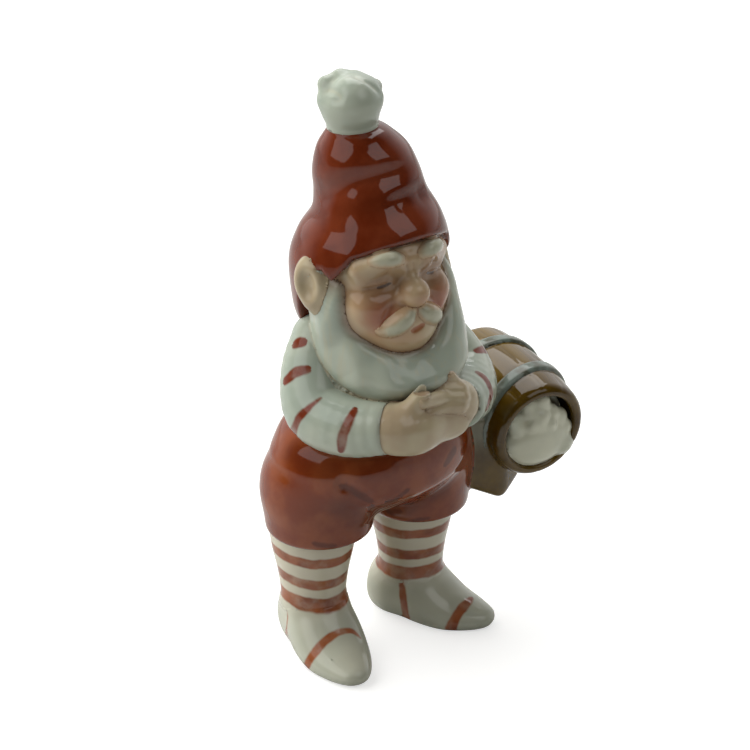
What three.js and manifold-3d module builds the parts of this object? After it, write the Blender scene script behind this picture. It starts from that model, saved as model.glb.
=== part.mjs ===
// Porcelain pixie figurine with a barrel at its hip, as the slip-cast pieces that are luted together before
// firing. Millimetres, +Z up. The figure faces -Y and its left side is on +X. The soles stand on Z = 0, and
// the origin lies under the middle of the figurine's box.
import * as THREE from "three";
import { mergeVertices } from "three/addons/utils/BufferGeometryUtils.js";
import Module from "manifold-3d";

const wasm = await Module();
wasm.setup();

// Casting
const SLIP_GAP = 0.3; // joint between two pieces, filled with slip
const CAST_WALL = 3; // wall of the hollow castings
const POUR_RADIUS = 4; // holes that join the hollows of neighbouring castings
const VENT_RADIUS = 2; // firing vent under the seat of the trousers

// Shoes and stockings
const STANCE = 28; // between the two ankle axes
const SHOE_LENGTH = 36;
const SHOE_WIDTH = 17.6;
const HEEL_BACK = 11; // heel behind the ankle axis
const ANKLE_HEIGHT = 15; // floor to the seat of the stocking
const SHOE_RISE = 2.5; // shoe's top above the seat of the stocking
const TOE_HEIGHT = 6.5;
const TOE_OUT_RIGHT = 8; // degrees
const TOE_OUT_LEFT = 29; // degrees
const LEGS_BACK = 3; // right ankle axis behind the axis of the head
const LEFT_FORWARD = 1; // left ankle axis before the right one
const ANKLE_RADIUS = 8;
const KNEE_RADIUS = 10.4;
const STOCKING_SHOWN = 19; // ankle seat to the level of the seat's fork
const KNEE_TENON = 5; // stocking hidden in the trouser leg
const ANKLE_PEG_RADIUS = 4.5;
const ANKLE_PEG_LENGTH = 4;

// Trousers
const TROUSERS_HEIGHT = 25; // fork to waist
const HIP_HALF_WIDTH = 25.9;
const HIP_HALF_DEPTH = 20;
const HIP_SHIFT = 1; // seat towards the barrel, off the middle of the stance
const TROUSER_LEG_RADIUS = 14;
const TROUSER_LEG_HEIGHT = 20; // hem to the top of a leg inside the seat
const HEM_DROP_RIGHT = 2.4; // hem below the fork
const HEM_DROP_LEFT = 3.6;
const LEG_BAG = 0.8; // trouser legs hang before the ankle axes and towards the barrel
const FOLD_RADIUS = 1.3; // furrow between the belly and the thighs
const FOLD_POINTS = [
  [-18.3, -13, 52.1],
  [-13.6, -16.1, 48.6],
  [-9.6, -16.6, 45.2],
  [-4.5, -17.5, 44.8],
  [0.2, -19, 46.7],
  [5, -19.5, 49.2],
  [9, -19, 52.3],
];

// Shirt
const TORSO_HEIGHT = 27; // waist to neck
const CHEST_HALF_WIDTH = 18.5;
const CHEST_HALF_DEPTH = 16.5;
const WAIST_TENON = 5; // torso hidden in the trousers
const SHOULDER_DROP = 5; // neck down to the shoulder joint
const SLEEVE_RADIUS = 7.6;
const CUFF_RADIUS = 6;
const ELBOW_OUT_RIGHT = 17.4;
const ELBOW_OUT_LEFT = 21.6;
const ELBOW_FORWARD = 6.3;
const ELBOW_RISE = 8.7; // above the waist
const CUFF_OUT_RIGHT = 10.5;
const CUFF_OUT_LEFT = 10.8;
const CUFF_FORWARD = 22;
const CUFF_RISE = 8.8; // above the waist

// Hands
const PALM_LENGTH = 17;
const PALM_THICKNESS = 9.2;
const PALM_HEIGHT = 12.4;
const FINGER_RADIUS = 1.9;
const FINGER_LENGTH = 7.5;
const FINGERS = 4;

// Head
const HEAD_RISE = 11.5; // neck to the middle of the head
const HEAD_HALF_WIDTH = 16.6;
const HEAD_HALF_DEPTH = 17;
const HEAD_HALF_HEIGHT = 16.5;
const NECK_RADIUS = 8.5;
const NECK_TENON = 5; // neck hidden in the torso
const NOSE_RADIUS = 3.4;
const CHEEK_RADIUS = 7.6;
const EYE_SPACING = 15.4; // between the middles of the eyes
const EYELID_RADIUS = 4;
const EYELID_TURN = 25; // degrees round the head
const FOREHEAD_HALF_WIDTH = 12.6;
const EAR_HEIGHT = 13;
const EAR_WIDTH = 9.6;
const EAR_THICKNESS = 5.2;
const EAR_FORWARD = 3; // middle of an ear before the head's axis
const EAR_LEAN = 14; // degrees that an ear's top leans back
const EAR_TILT = 8; // degrees that an ear's top leans out
const EAR_FLARE = 26; // degrees that an ear's rear edge stands off the head
const BROW_LENGTH = 6.2;
const BROW_RADIUS = 1.7;
const MOUSTACHE_LENGTH = 6.5;
const MOUSTACHE_RADIUS = 2.4;

// Beard
const BEARD_DROP = 27; // middle of the head down to the tip
const BEARD_HALF_WIDTH = 20;
const BEARD_HALF_DEPTH = 17.5;
const FACE_HALF_WIDTH = 13.2; // opening of the beard round the face
const FACE_HALF_HEIGHT = 15;
const FACE_RISE = 1; // middle of the opening above the middle of the head
const FACE_FLARE = 1.4; // how many times wider the opening is far before the face

// Hat
const HAT_RISE = 36; // middle of the head up to the seat of the pompom
const HAT_OVER_SIDES = 2.1; // hat's outside off the head
const HAT_OVER_FRONT = 1.4;
const HAT_HALF_WIDTH = HEAD_HALF_WIDTH + HAT_OVER_SIDES;
const HAT_HALF_DEPTH = HEAD_HALF_DEPTH + HAT_OVER_FRONT;
const HAT_NAPE_DROP = 15; // middle of the head down to the hat's hem at the nape
const HAT_CROWN_RADIUS = 12.6; // slumped upper bulge
const HAT_WALL = 3;
const BRIM_FRONT_RISE = 13.3; // brim over the forehead, above the middle of the head
const BRIM_SLOPE = 31; // degrees that the brim falls from the forehead to the ears
const SIDEBURN_FORWARD = 9; // points of the brim before the ears
const SIDEBURN_RISE = 4.4; // tip of a point above the middle of the head
const SIDEBURN_RADIUS = 4.2; // of a point where it leaves the brim
const HAT_SIDE_EDGE = 1; // upright edge of the hat behind the ears, behind the head's axis
const POMPOM_RADIUS = 7.6;
const POMPOM_HEIGHT = 11;
const POMPOM_PEG_RADIUS = 3;
const POMPOM_PEG_LENGTH = 3;
const POMPOM_TUFTS = 6;
const POMPOM_MIDDLE = [-2.6, 1.6];

// Barrel
const BARREL_LENGTH = 34;
const BARREL_BELLY_RADIUS = 12.6;
const BARREL_END_RADIUS = 11.2;
const BARREL_WALL = 2.6;
const BARREL_HEAD_THICKNESS = 2;
const BARREL_HEAD_INSET = 1.5; // rear head inside the chime
const BARREL_RISE = 15.5; // barrel axis above the trousers' fork
const BARREL_STANDOFF = 2.8; // barrel's hoops off the hip
const BARREL_BACK = 1; // middle of the barrel behind the ankle axes
const BARREL_SPLAY = 8; // degrees that the barrel's rear swings out
const HOOP_WIDTH = 3.6;
const HOOP_THICKNESS = 0.8;
const FRONT_HOOP = 8; // hoop's middle before the middle of the barrel
const REAR_HOOP = 7; // hoop's middle behind the middle of the barrel
const FILL_DEPTH = 8; // contents inside the mouth
const LUMP_DEPTH = 1; // middles of the lumps inside the mouth
const FILL_SAG = 1; // contents below the middle of the mouth
const FILL_LUMPS = 9;
const LUMP_RADIUS = 3.4;

// Bracket under the barrel: a block with a keel below and a front edge, between the hip and the barrel
const BRACKET_KEEL_OUT = 4.3; // keel beyond the hip
const BRACKET_KEEL_DROP = 2; // keel below the trousers' fork
const BRACKET_HALF_WIDTH = 9;
const BRACKET_RISE = 5.4; // from the keel up to the lower edges at either side
const BRACKET_FRONT = 11.6; // front edge before the head's axis
const BRACKET_BEVEL = 4; // from the front edge back to the edges at either side
const BRACKET_BACK = 3; // rear face behind the head's axis
const BRACKET_TOP = 4.5; // above the barrel's axis

// Fineness of the surfaces
const SIDES = 22;
const HOLLOW_SIDES = 12;
const LIMB_SIDES = 14;
const LIMB_STEPS = 2; // between two points of a limb
const FLAT_EDGE = 0.2; // straight edge of a cuff

// Levels
const FORK_Z = ANKLE_HEIGHT + STOCKING_SHOWN;
const WAIST_Z = FORK_Z + TROUSERS_HEIGHT;
const NECK_Z = WAIST_Z + TORSO_HEIGHT;
const HEAD_Z = NECK_Z + HEAD_RISE;
const HAT_TOP_Z = HEAD_Z + HAT_RISE;
const BARREL_Z = FORK_Z + BARREL_RISE;

const RIGHT = {
  name: "right",
  sign: -1,
  forward: 0,
  toeOut: TOE_OUT_RIGHT,
  hemDrop: HEM_DROP_RIGHT,
  elbowOut: ELBOW_OUT_RIGHT,
  cuffOut: CUFF_OUT_RIGHT,
};
const LEFT = {
  name: "left",
  sign: 1,
  forward: LEFT_FORWARD,
  toeOut: TOE_OUT_LEFT,
  hemDrop: HEM_DROP_LEFT,
  elbowOut: ELBOW_OUT_LEFT,
  cuffOut: CUFF_OUT_LEFT,
};
const BOTH = [RIGHT, LEFT];

const WHITE = 0xd8dbd0;
const RED = 0x85412e;
const SKIN = 0xcfae90;
const WOOD = 0x86672f;
const HOOP_GREY = 0x8f9692;

const toRadians = THREE.MathUtils.degToRad;

// A closed geometry as a solid with its faces pointing out.
function solid(geometry) {
  geometry.deleteAttribute("normal");
  geometry.deleteAttribute("uv");
  const merged = mergeVertices(geometry, 1e-4);
  const triVerts = new Uint32Array(merged.index.array);
  const vertProperties = merged.attributes.position.array;
  const made = new wasm.Manifold(new wasm.Mesh({ numProp: 3, vertProperties, triVerts }));
  if (made.volume() > 0) return made;
  triVerts.reverse();
  return new wasm.Manifold(new wasm.Mesh({ numProp: 3, vertProperties, triVerts }));
}

// A skin over rings of points, each ring with as many points, closed by a fan at both ends.
function skin(rings) {
  const sides = rings[0].length;
  const middle = (ring) => ring.reduce((sum, p) => sum.add(p), new THREE.Vector3()).divideScalar(sides);
  const points = [...rings.flat(), middle(rings[0]), middle(rings.at(-1))];
  const index = [];
  for (let j = 0; j < sides; j++) {
    const next = (j + 1) % sides;
    index.push(rings.length * sides, next, j);
    const last = (rings.length - 1) * sides;
    index.push(rings.length * sides + 1, last + j, last + next);
    for (let i = 0; i < last; i += sides) {
      index.push(i + j, i + next, i + sides + next);
      index.push(i + j, i + sides + next, i + sides + j);
    }
  }
  return solid(new THREE.BufferGeometry().setFromPoints(points).setIndex(index));
}

// A body of level elliptic sections: rows of height, middle x, middle y, half width and half depth.
function stack(rows, grow = 0) {
  const sides = grow < 0 ? HOLLOW_SIDES : SIDES;
  const lift = (i) => (i === 0 ? -grow : i === rows.length - 1 ? grow : 0);
  return skin(
    rows.map(([z, x, y, halfWidth, halfDepth], i) =>
      Array.from({ length: sides }, (_, j) => {
        const turn = (2 * Math.PI * j) / sides;
        const across = (halfWidth + grow) * Math.cos(turn);
        const along = (halfDepth + grow) * Math.sin(turn);
        return new THREE.Vector3(x + across, y + along, z + lift(i));
      }),
    ),
  );
}

// A round limb along a smooth path, with a radius at each point. It starts domed and ends domed or flat.
function limb(points, radii, grow = 0, sides = LIMB_SIDES, flatEnd = false) {
  const path = new THREE.CatmullRomCurve3(points.map((p) => new THREE.Vector3(...p)));
  const steps = (points.length - 1) * LIMB_STEPS;
  const frames = path.computeFrenetFrames(steps);
  const girth = new THREE.SplineCurve(radii.map((r, i) => new THREE.Vector2(i, r + grow)));
  const ring = (u, frame, along, share) => {
    const radius = girth.getPoint(u).y * share;
    const centre = path.getPoint(u).addScaledVector(frames.tangents[frame], along * girth.getPoint(u).y);
    return Array.from({ length: sides }, (_, j) => {
      const turn = (2 * Math.PI * j) / sides;
      return centre
        .clone()
        .addScaledVector(frames.normals[frame], radius * Math.cos(turn))
        .addScaledVector(frames.binormals[frame], radius * Math.sin(turn));
    });
  };
  const domes = [72, 40].map(toRadians);
  const start = domes.map((a) => ring(0, 0, -Math.sin(a), Math.cos(a)));
  const run = Array.from({ length: steps + 1 }, (_, i) => ring(i / steps, i, 0, 1));
  const lastRadius = radii.at(-1) + grow;
  const end = flatEnd
    ? [ring(1, steps, (grow + FLAT_EDGE) / lastRadius, 1)]
    : domes.toReversed().map((a) => ring(1, steps, Math.sin(a), Math.cos(a)));
  return skin([...start, ...run, ...end]);
}

// An ellipsoid, turned about its middle in degrees.
function blob([x, y, z], [rx, ry, rz], grow = 0, turn = [0, 0, 0], sides = 12) {
  const geometry = new THREE.SphereGeometry(1, sides, Math.round(sides * 0.6));
  geometry.rotateX(Math.PI / 2);
  geometry.scale(rx + grow, ry + grow, rz + grow);
  const [ax, ay, az] = turn.map(toRadians);
  geometry.rotateX(ax).rotateY(ay).rotateZ(az);
  geometry.translate(x, y, z);
  return solid(geometry);
}

// A body turned about the Z axis from radius and height points that start and end on the axis.
function turned(profile, sides = 28) {
  const geometry = new THREE.LatheGeometry(
    profile.map(([radius, z]) => new THREE.Vector2(radius, z)),
    sides,
  );
  return solid(geometry.rotateX(Math.PI / 2));
}

// An upright cylinder between two heights.
function post(x, y, bottom, top, radius, sides = 18) {
  const geometry = new THREE.CylinderGeometry(radius, radius, top - bottom, sides);
  geometry.rotateX(Math.PI / 2).translate(x, y, (bottom + top) / 2);
  return solid(geometry);
}

function box(low, high) {
  const size = high.map((v, i) => v - low[i]);
  const middle = high.map((v, i) => (v + low[i]) / 2);
  return solid(new THREE.BoxGeometry(...size).translate(...middle));
}

const joined = (solids) => solids.reduce((sum, s) => sum.add(s));

// A piece cut back from its neighbours. A cut may leave crumbs, and the piece is the largest body.
function trimmed(piece, ...cutters) {
  const bodies = cutters.reduce((rest, cutter) => rest.subtract(cutter), piece).decompose();
  return bodies.reduce((largest, body) => (body.volume() > largest.volume() ? body : largest));
}

// A solid moved by a matrix.
function moved(piece, matrix) {
  return piece.transform(matrix.elements);
}

const anklePlace = (side) => [(side.sign * STANCE) / 2, LEGS_BACK - side.forward];

// Matrix that takes a shoe from its own frame, with the ankle axis on Z, to the figure.
function shoeMatrix(side) {
  const turn = new THREE.Matrix4().makeRotationZ(toRadians(side.sign * side.toeOut));
  return turn.setPosition(...anklePlace(side), 0);
}

// A shoe along -Y in its own frame: upright elliptic sections from heel to toe, cut off flat at the floor.
function shoeShape() {
  const top = ANKLE_HEIGHT + SHOE_RISE;
  const sections = [
    [0.0, 0.25, 3, top * 0.5],
    [0.05, 0.6, -0.5, top * 0.69],
    [0.18, 0.86, -3, top * 0.92],
    [0.34, 0.94, -3.5, top],
    [0.5, 1.0, -3.5, (top + TOE_HEIGHT) * 0.52],
    [0.68, 0.92, -3, TOE_HEIGHT * 1.26],
    [0.84, 0.68, -1.6, TOE_HEIGHT],
    [0.95, 0.4, 0, TOE_HEIGHT * 0.77],
    [1.0, 0.12, TOE_HEIGHT * 0.25, TOE_HEIGHT * 0.52],
  ];
  const rings = sections.map(([share, width, low, high]) =>
    Array.from({ length: SIDES }, (_, j) => {
      const turn = (2 * Math.PI * j) / SIDES;
      const x = (SHOE_WIDTH / 2) * width * Math.cos(turn);
      const y = HEEL_BACK - SHOE_LENGTH * share;
      return new THREE.Vector3(x, y, (high + low) / 2 + ((high - low) / 2) * Math.sin(turn));
    }),
  );
  const floor = box([-SHOE_WIDTH, -SHOE_LENGTH, -ANKLE_HEIGHT], [SHOE_WIDTH, SHOE_LENGTH, 0]);
  return skin(rings).subtract(floor);
}

// A stocking from its ankle seat up into the trouser leg, with a peg down into the shoe.
function stockingShape(side, grow = 0) {
  const [x, y] = anklePlace(side);
  const rows = [0, 0.3, 0.65, 1].map((share) => {
    const radius = THREE.MathUtils.lerp(ANKLE_RADIUS, KNEE_RADIUS, share * share * (2 - share));
    return [ANKLE_HEIGHT + share * STOCKING_SHOWN, x, y, radius, radius];
  });
  rows.push([FORK_Z + KNEE_TENON, x, y, KNEE_RADIUS, KNEE_RADIUS]);
  const pegBottom = ANKLE_HEIGHT - ANKLE_PEG_LENGTH - grow;
  const peg = post(x, y, pegBottom, ANKLE_HEIGHT + 1, ANKLE_PEG_RADIUS + grow);
  return stack(rows, grow).add(peg);
}

// The trousers' outside, or with a negative grow the hollow inside them.
function trousersShape(grow = 0) {
  const level = (share) => FORK_Z + share * TROUSERS_HEIGHT;
  const seat = stack(
    [
      [level(0.1), HIP_SHIFT, LEGS_BACK, HIP_HALF_WIDTH * 0.54, HIP_HALF_DEPTH * 0.5],
      [level(0.24), HIP_SHIFT, LEGS_BACK * 0.8, HIP_HALF_WIDTH * 0.88, HIP_HALF_DEPTH * 0.8],
      [level(0.46), HIP_SHIFT, LEGS_BACK * 0.4, HIP_HALF_WIDTH, HIP_HALF_DEPTH * 0.98],
      [level(0.7), HIP_SHIFT, 0, HIP_HALF_WIDTH * 0.98, HIP_HALF_DEPTH],
      [level(0.88), HIP_SHIFT, 0, HIP_HALF_WIDTH * 0.91, HIP_HALF_DEPTH * 0.97],
      [level(1), HIP_SHIFT, 0, HIP_HALF_WIDTH * 0.82, HIP_HALF_DEPTH * 0.92],
    ],
    grow,
  );
  const legs = BOTH.map((side) => {
    const rows = [
      [0, 0.89],
      [0.07, 0.96],
      [0.25, 1],
      [0.55, 0.99],
      [0.8, 0.89],
      [1, 0.64],
    ];
    const [ankleX, ankleY] = anklePlace(side);
    const section = (share) => TROUSER_LEG_RADIUS * share;
    return stack(
      rows.map(([share, width]) => [
        FORK_Z - side.hemDrop + share * TROUSER_LEG_HEIGHT,
        ankleX + LEG_BAG / 2,
        ankleY - LEG_BAG,
        section(width),
        section(width),
      ]),
      grow,
    );
  });
  return joined([seat, ...legs]);
}

// The furrow under the belly, as the rod that presses it.
function foldShape() {
  const radii = FOLD_POINTS.map((_, i) => (i % (FOLD_POINTS.length - 1) === 0 ? FOLD_RADIUS * 0.4 : FOLD_RADIUS));
  return limb(FOLD_POINTS, radii, 0, 8);
}

// The shirt's body with a tenon down into the trousers.
function torsoShape(grow = 0) {
  const level = (share) => WAIST_Z + share * TORSO_HEIGHT;
  const body = stack(
    [
      [level(0), 0, -0.5, CHEST_HALF_WIDTH, CHEST_HALF_DEPTH],
      [level(0.25), 0, -1, CHEST_HALF_WIDTH * 1.02, CHEST_HALF_DEPTH * 1.04],
      [level(0.55), 0, -0.5, CHEST_HALF_WIDTH * 0.97, CHEST_HALF_DEPTH],
      [level(0.82), 0, 0, CHEST_HALF_WIDTH * 0.82, CHEST_HALF_DEPTH * 0.86],
      [level(1), 0, 0, NECK_RADIUS + CAST_WALL, NECK_RADIUS + CAST_WALL],
    ],
    grow,
  );
  const [halfWidth, halfDepth] = [CHEST_HALF_WIDTH - CAST_WALL, CHEST_HALF_DEPTH - CAST_WALL];
  const tenon = stack(
    [
      [WAIST_Z - WAIST_TENON, 0, -0.5, halfWidth, halfDepth],
      [WAIST_Z + CAST_WALL, 0, -0.5, halfWidth, halfDepth],
    ],
    grow,
  );
  return body.add(tenon);
}

const cuffPlace = (side) => [side.sign * side.cuffOut, -CUFF_FORWARD, WAIST_Z + CUFF_RISE];

function sleeveShape(side, grow = 0) {
  const s = side.sign;
  const shoulder = [s * (CHEST_HALF_WIDTH - 4.5), 1.5, NECK_Z - SHOULDER_DROP];
  const elbow = [s * side.elbowOut, -ELBOW_FORWARD, WAIST_Z + ELBOW_RISE];
  const cuff = cuffPlace(side);
  const between = (a, b, share, out) => a.map((v, i) => THREE.MathUtils.lerp(v, b[i], share) + out[i]);
  const upper = between(shoulder, elbow, 0.5, [s, 1, 0]);
  const fore = between(elbow, cuff, 0.5, [s * 1.4, -1, -0.9]);
  const radii = [0.84, 1, 1, 0.92].map((share) => share * SLEEVE_RADIUS);
  return limb([shoulder, upper, elbow, fore, cuff], [...radii, CUFF_RADIUS], grow, LIMB_SIDES, true);
}

// A hand with its fingers lying across the belly: the right one below, the left one folded over it.
function handShape(side, grow = 0) {
  const s = side.sign;
  const below = side === RIGHT;
  const rise = WAIST_Z + CUFF_RISE + (below ? -1 : PALM_HEIGHT * 0.3);
  const front = -CUFF_FORWARD - (below ? PALM_THICKNESS * 0.25 : 0);
  const reach = s * (side.cuffOut - PALM_LENGTH * 0.36);
  const palm = blob([reach, front, rise], [PALM_LENGTH / 2, PALM_THICKNESS / 2, PALM_HEIGHT / 2], grow);
  const wristRadius = CUFF_RADIUS * 0.85;
  const wrist = limb([cuffPlace(side), [reach, front, rise]], [wristRadius, PALM_THICKNESS / 2], grow, 12);
  const spread = (PALM_HEIGHT - 2 * FINGER_RADIUS) / FINGERS;
  const fingers = Array.from({ length: FINGERS }, (_, i) => {
    const z = rise + (i - (FINGERS - 1) / 2) * spread;
    const knuckle = [reach - s * PALM_LENGTH * 0.2, front - PALM_THICKNESS * 0.2, z];
    const tip = [knuckle[0] - s * FINGER_LENGTH, front + PALM_THICKNESS * 0.2, z];
    const bend = [knuckle[0] - s * FINGER_LENGTH * 0.6, front - PALM_THICKNESS * 0.22, z];
    return limb([knuckle, bend, tip], [FINGER_RADIUS, FINGER_RADIUS, FINGER_RADIUS * 0.9], grow, 8);
  });
  return joined([palm, wrist, ...fingers]);
}

// The head with its neck, nose, cheeks, chin and closed eyelids.
function headShape(grow = 0) {
  const halves = [HEAD_HALF_WIDTH, HEAD_HALF_DEPTH, HEAD_HALF_HEIGHT];
  const skull = blob([0, 0, HEAD_Z], halves, grow, [0, 0, 0], SIDES);
  const neck = post(0, 0, NECK_Z - NECK_TENON - grow, HEAD_Z, NECK_RADIUS + grow);
  const nose = blob(
    [0, -HEAD_HALF_DEPTH - NOSE_RADIUS * 0.6, HEAD_Z + 0.8],
    [NOSE_RADIUS, NOSE_RADIUS * 1.05, NOSE_RADIUS],
    grow,
  );
  const chin = blob([0, -HEAD_HALF_DEPTH * 0.8, HEAD_Z - HEAD_HALF_HEIGHT * 0.56], [7.6, 6.4, 5.8], grow);
  const forehead = blob(
    [0, -HEAD_HALF_DEPTH * 0.5, HEAD_Z + HEAD_HALF_HEIGHT * 0.52],
    [FOREHEAD_HALF_WIDTH, HEAD_HALF_DEPTH * 0.52, HEAD_HALF_HEIGHT * 0.37],
    grow,
  );
  const cheeks = BOTH.map((side) =>
    blob(
      [side.sign * CHEEK_RADIUS * 0.85, -HEAD_HALF_DEPTH * 0.72, HEAD_Z - CHEEK_RADIUS * 0.5],
      [CHEEK_RADIUS, CHEEK_RADIUS * 0.85, CHEEK_RADIUS * 0.95],
      grow,
    ),
  );
  const eyelids = BOTH.map((side) =>
    blob(
      [(side.sign * EYE_SPACING) / 2, -HEAD_HALF_DEPTH * 0.76, HEAD_Z + 2.4],
      [EYELID_RADIUS, EYELID_RADIUS * 0.8, EYELID_RADIUS * 0.7],
      grow,
      [0, 0, side.sign * EYELID_TURN],
    ),
  );
  return joined([skull, neck, nose, chin, forehead, ...cheeks, ...eyelids]);
}

function headHollow() {
  const room = [HEAD_HALF_WIDTH, HEAD_HALF_DEPTH, HEAD_HALF_HEIGHT].map((half) => half - CAST_WALL);
  const pour = post(0, 0, NECK_Z - NECK_TENON - CAST_WALL, HEAD_Z + 2 * HEAD_HALF_HEIGHT, POUR_RADIUS);
  return blob([0, 0, HEAD_Z], room).add(pour);
}

function earShape(side, grow = 0) {
  const s = side.sign;
  const middle = [s * (HEAD_HALF_WIDTH + EAR_THICKNESS * 0.2), -EAR_FORWARD, HEAD_Z + EAR_HEIGHT * 0.1];
  const turn = [-EAR_LEAN, -s * EAR_TILT, -s * EAR_FLARE];
  return blob(middle, [EAR_THICKNESS / 2, EAR_WIDTH / 2, EAR_HEIGHT / 2], grow, turn);
}

function browShape(side, grow = 0) {
  const s = side.sign;
  const inner = [s * 3.2, -HEAD_HALF_DEPTH * 1.01, HEAD_Z + HEAD_HALF_HEIGHT * 0.56];
  const outer = [inner[0] + s * BROW_LENGTH, -HEAD_HALF_DEPTH * 0.91, HEAD_Z + HEAD_HALF_HEIGHT * 0.57];
  const middle = [(inner[0] + outer[0]) / 2, -HEAD_HALF_DEPTH, HEAD_Z + HEAD_HALF_HEIGHT * 0.6];
  return limb([inner, middle, outer], [BROW_RADIUS * 0.8, BROW_RADIUS, BROW_RADIUS * 0.5], grow, 8);
}

function moustacheShape(side, grow = 0) {
  const s = side.sign;
  const front = -HEAD_HALF_DEPTH;
  const inner = MOUSTACHE_RADIUS * 0.8 + SLIP_GAP;
  const path = [
    [s * inner, front - MOUSTACHE_RADIUS, HEAD_Z - MOUSTACHE_RADIUS * 1.8],
    [s * (inner + MOUSTACHE_LENGTH * 0.5), front - MOUSTACHE_RADIUS * 0.5, HEAD_Z - MOUSTACHE_RADIUS * 2.7],
    [s * (inner + MOUSTACHE_LENGTH), front + MOUSTACHE_RADIUS * 0.5, HEAD_Z - MOUSTACHE_RADIUS * 2.9],
  ];
  return limb(path, [MOUSTACHE_RADIUS * 0.8, MOUSTACHE_RADIUS, MOUSTACHE_RADIUS * 0.45], grow, 10);
}

// The beard's mass from the ears down over the chest, with an opening round the face.
function beardShape(grow = 0) {
  const tip = HEAD_Z - BEARD_DROP;
  const level = (share) => tip + share * BEARD_DROP;
  const [w, d] = [BEARD_HALF_WIDTH, BEARD_HALF_DEPTH];
  const mass = stack(
    [
      [level(0), 0, -11.5, w * 0.45, d * 0.4],
      [level(0.08), 0, -11, w * 0.74, d * 0.66],
      [level(0.24), 0, -9, w * 0.94, d * 0.9],
      [level(0.42), 0, -6, w, d * 0.97],
      [level(0.66), 0, -4.2, w * 0.97, d * 0.94],
      [level(0.88), 0, -2, w * 0.92, d * 0.92],
      [level(1.06), 0, 0, w * 0.86, d * 0.82],
    ],
    grow,
  );
  const face = new THREE.CylinderGeometry(1, FACE_FLARE, 1, SIDES);
  face.scale(FACE_HALF_WIDTH - grow, 3 * d, FACE_HALF_HEIGHT - grow);
  face.translate(0, -1.75 * d, HEAD_Z + FACE_RISE);
  const opening = solid(face);
  return mass.intersect(frontRoom(SLIP_GAP)).subtract(opening);
}

// The hat's outside down to its sloping brim.
function hatOutside(grow = 0) {
  const level = (share) => HEAD_Z + share * HAT_RISE;
  const [w, d, c] = [HAT_HALF_WIDTH, HAT_HALF_DEPTH, HAT_CROWN_RADIUS];
  const body = stack(
    [
      [HEAD_Z - HAT_NAPE_DROP, 0, 2, w * 0.88, d * 0.85],
      [HEAD_Z - HAT_NAPE_DROP * 0.5, 0, 0.5, w * 0.97, d * 0.96],
      [level(0.08), 0, -0.5, w, d],
      [level(0.26), 0.3, -1.5, w * 0.93, d * 0.97],
      [level(0.42), 0.8, -2.2, w * 0.78, d * 0.84],
      [level(0.55), 0.3, -0.6, c * 1.04, c * 1.06],
      [level(0.7), -0.4, 0.2, c * 0.98, c * 0.98],
      [level(0.84), -1, 0.6, c * 0.84, c * 0.84],
      [level(0.94), -1.8, 1, c * 0.62, c * 0.62],
      [level(1), ...POMPOM_MIDDLE, POMPOM_RADIUS * 0.78, POMPOM_RADIUS * 0.78],
    ],
    grow,
  );
  return body;
}

// Where the beard and the face may be: below the brim's slope and before the hat's side edges, less a gap.
function frontRoom(gap = 0) {
  const reach = 4 * HAT_HALF_WIDTH;
  const slab = new THREE.BoxGeometry(reach, reach, reach).translate(0, 0, -reach / 2 - gap);
  slab.rotateX(-toRadians(BRIM_SLOPE));
  slab.translate(0, -HAT_HALF_DEPTH, HEAD_Z + BRIM_FRONT_RISE);
  const behind = box([-reach, HAT_SIDE_EDGE - gap, HEAD_Z - reach], [reach, 2 * reach, HEAD_Z + reach]);
  return trimmed(solid(slab), behind, ...BOTH.map((side) => sideburnShape(side, gap)));
}

// The point of the hat that comes down between the temple and the ear.
function sideburnShape(side, grow) {
  const x = side.sign * (HAT_HALF_WIDTH - HAT_WALL);
  const tip = HEAD_Z + SIDEBURN_RISE;
  const path = [
    [x, -SIDEBURN_FORWARD, tip + SIDEBURN_RADIUS * 1.6],
    [x, -SIDEBURN_FORWARD, tip + SIDEBURN_RADIUS * 0.7],
    [x, -SIDEBURN_FORWARD, tip],
  ];
  return limb(path, [SIDEBURN_RADIUS, SIDEBURN_RADIUS * 0.55, SIDEBURN_RADIUS * 0.12], grow, 10);
}

function pompomShape(grow = 0) {
  const [x, y] = POMPOM_MIDDLE;
  const level = (share) => HAT_TOP_Z + share * POMPOM_HEIGHT;
  const cup = stack(
    [
      [level(0), x, y, POMPOM_RADIUS * 0.74, POMPOM_RADIUS * 0.74],
      [level(0.3), x, y, POMPOM_RADIUS * 0.92, POMPOM_RADIUS * 0.92],
      [level(0.6), x, y, POMPOM_RADIUS, POMPOM_RADIUS],
      [level(0.84), x, y, POMPOM_RADIUS * 0.72, POMPOM_RADIUS * 0.72],
    ],
    grow,
  );
  const tufts = Array.from({ length: POMPOM_TUFTS }, (_, i) => {
    const turn = (2 * Math.PI * i) / POMPOM_TUFTS;
    const out = POMPOM_RADIUS * 0.58;
    const radius = POMPOM_RADIUS * 0.36;
    const middle = [x + out * Math.cos(turn), y + out * Math.sin(turn), level(0.8)];
    return blob(middle, [radius, radius, radius * 1.15], grow, [0, 0, 0], 10);
  });
  const half = POMPOM_RADIUS * 0.5;
  const crown = blob([x, y, level(0.82)], [half, half, POMPOM_HEIGHT * 0.18], grow);
  const peg = post(x, y, HAT_TOP_Z - POMPOM_PEG_LENGTH - grow, level(0.3), POMPOM_PEG_RADIUS + grow);
  return joined([cup, crown, peg, ...tufts]);
}

// Outer radius of the barrel at a distance from its middle.
function barrelRadius(along) {
  const share = (2 * along) / BARREL_LENGTH;
  return BARREL_BELLY_RADIUS - (BARREL_BELLY_RADIUS - BARREL_END_RADIUS) * share * share;
}

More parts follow.
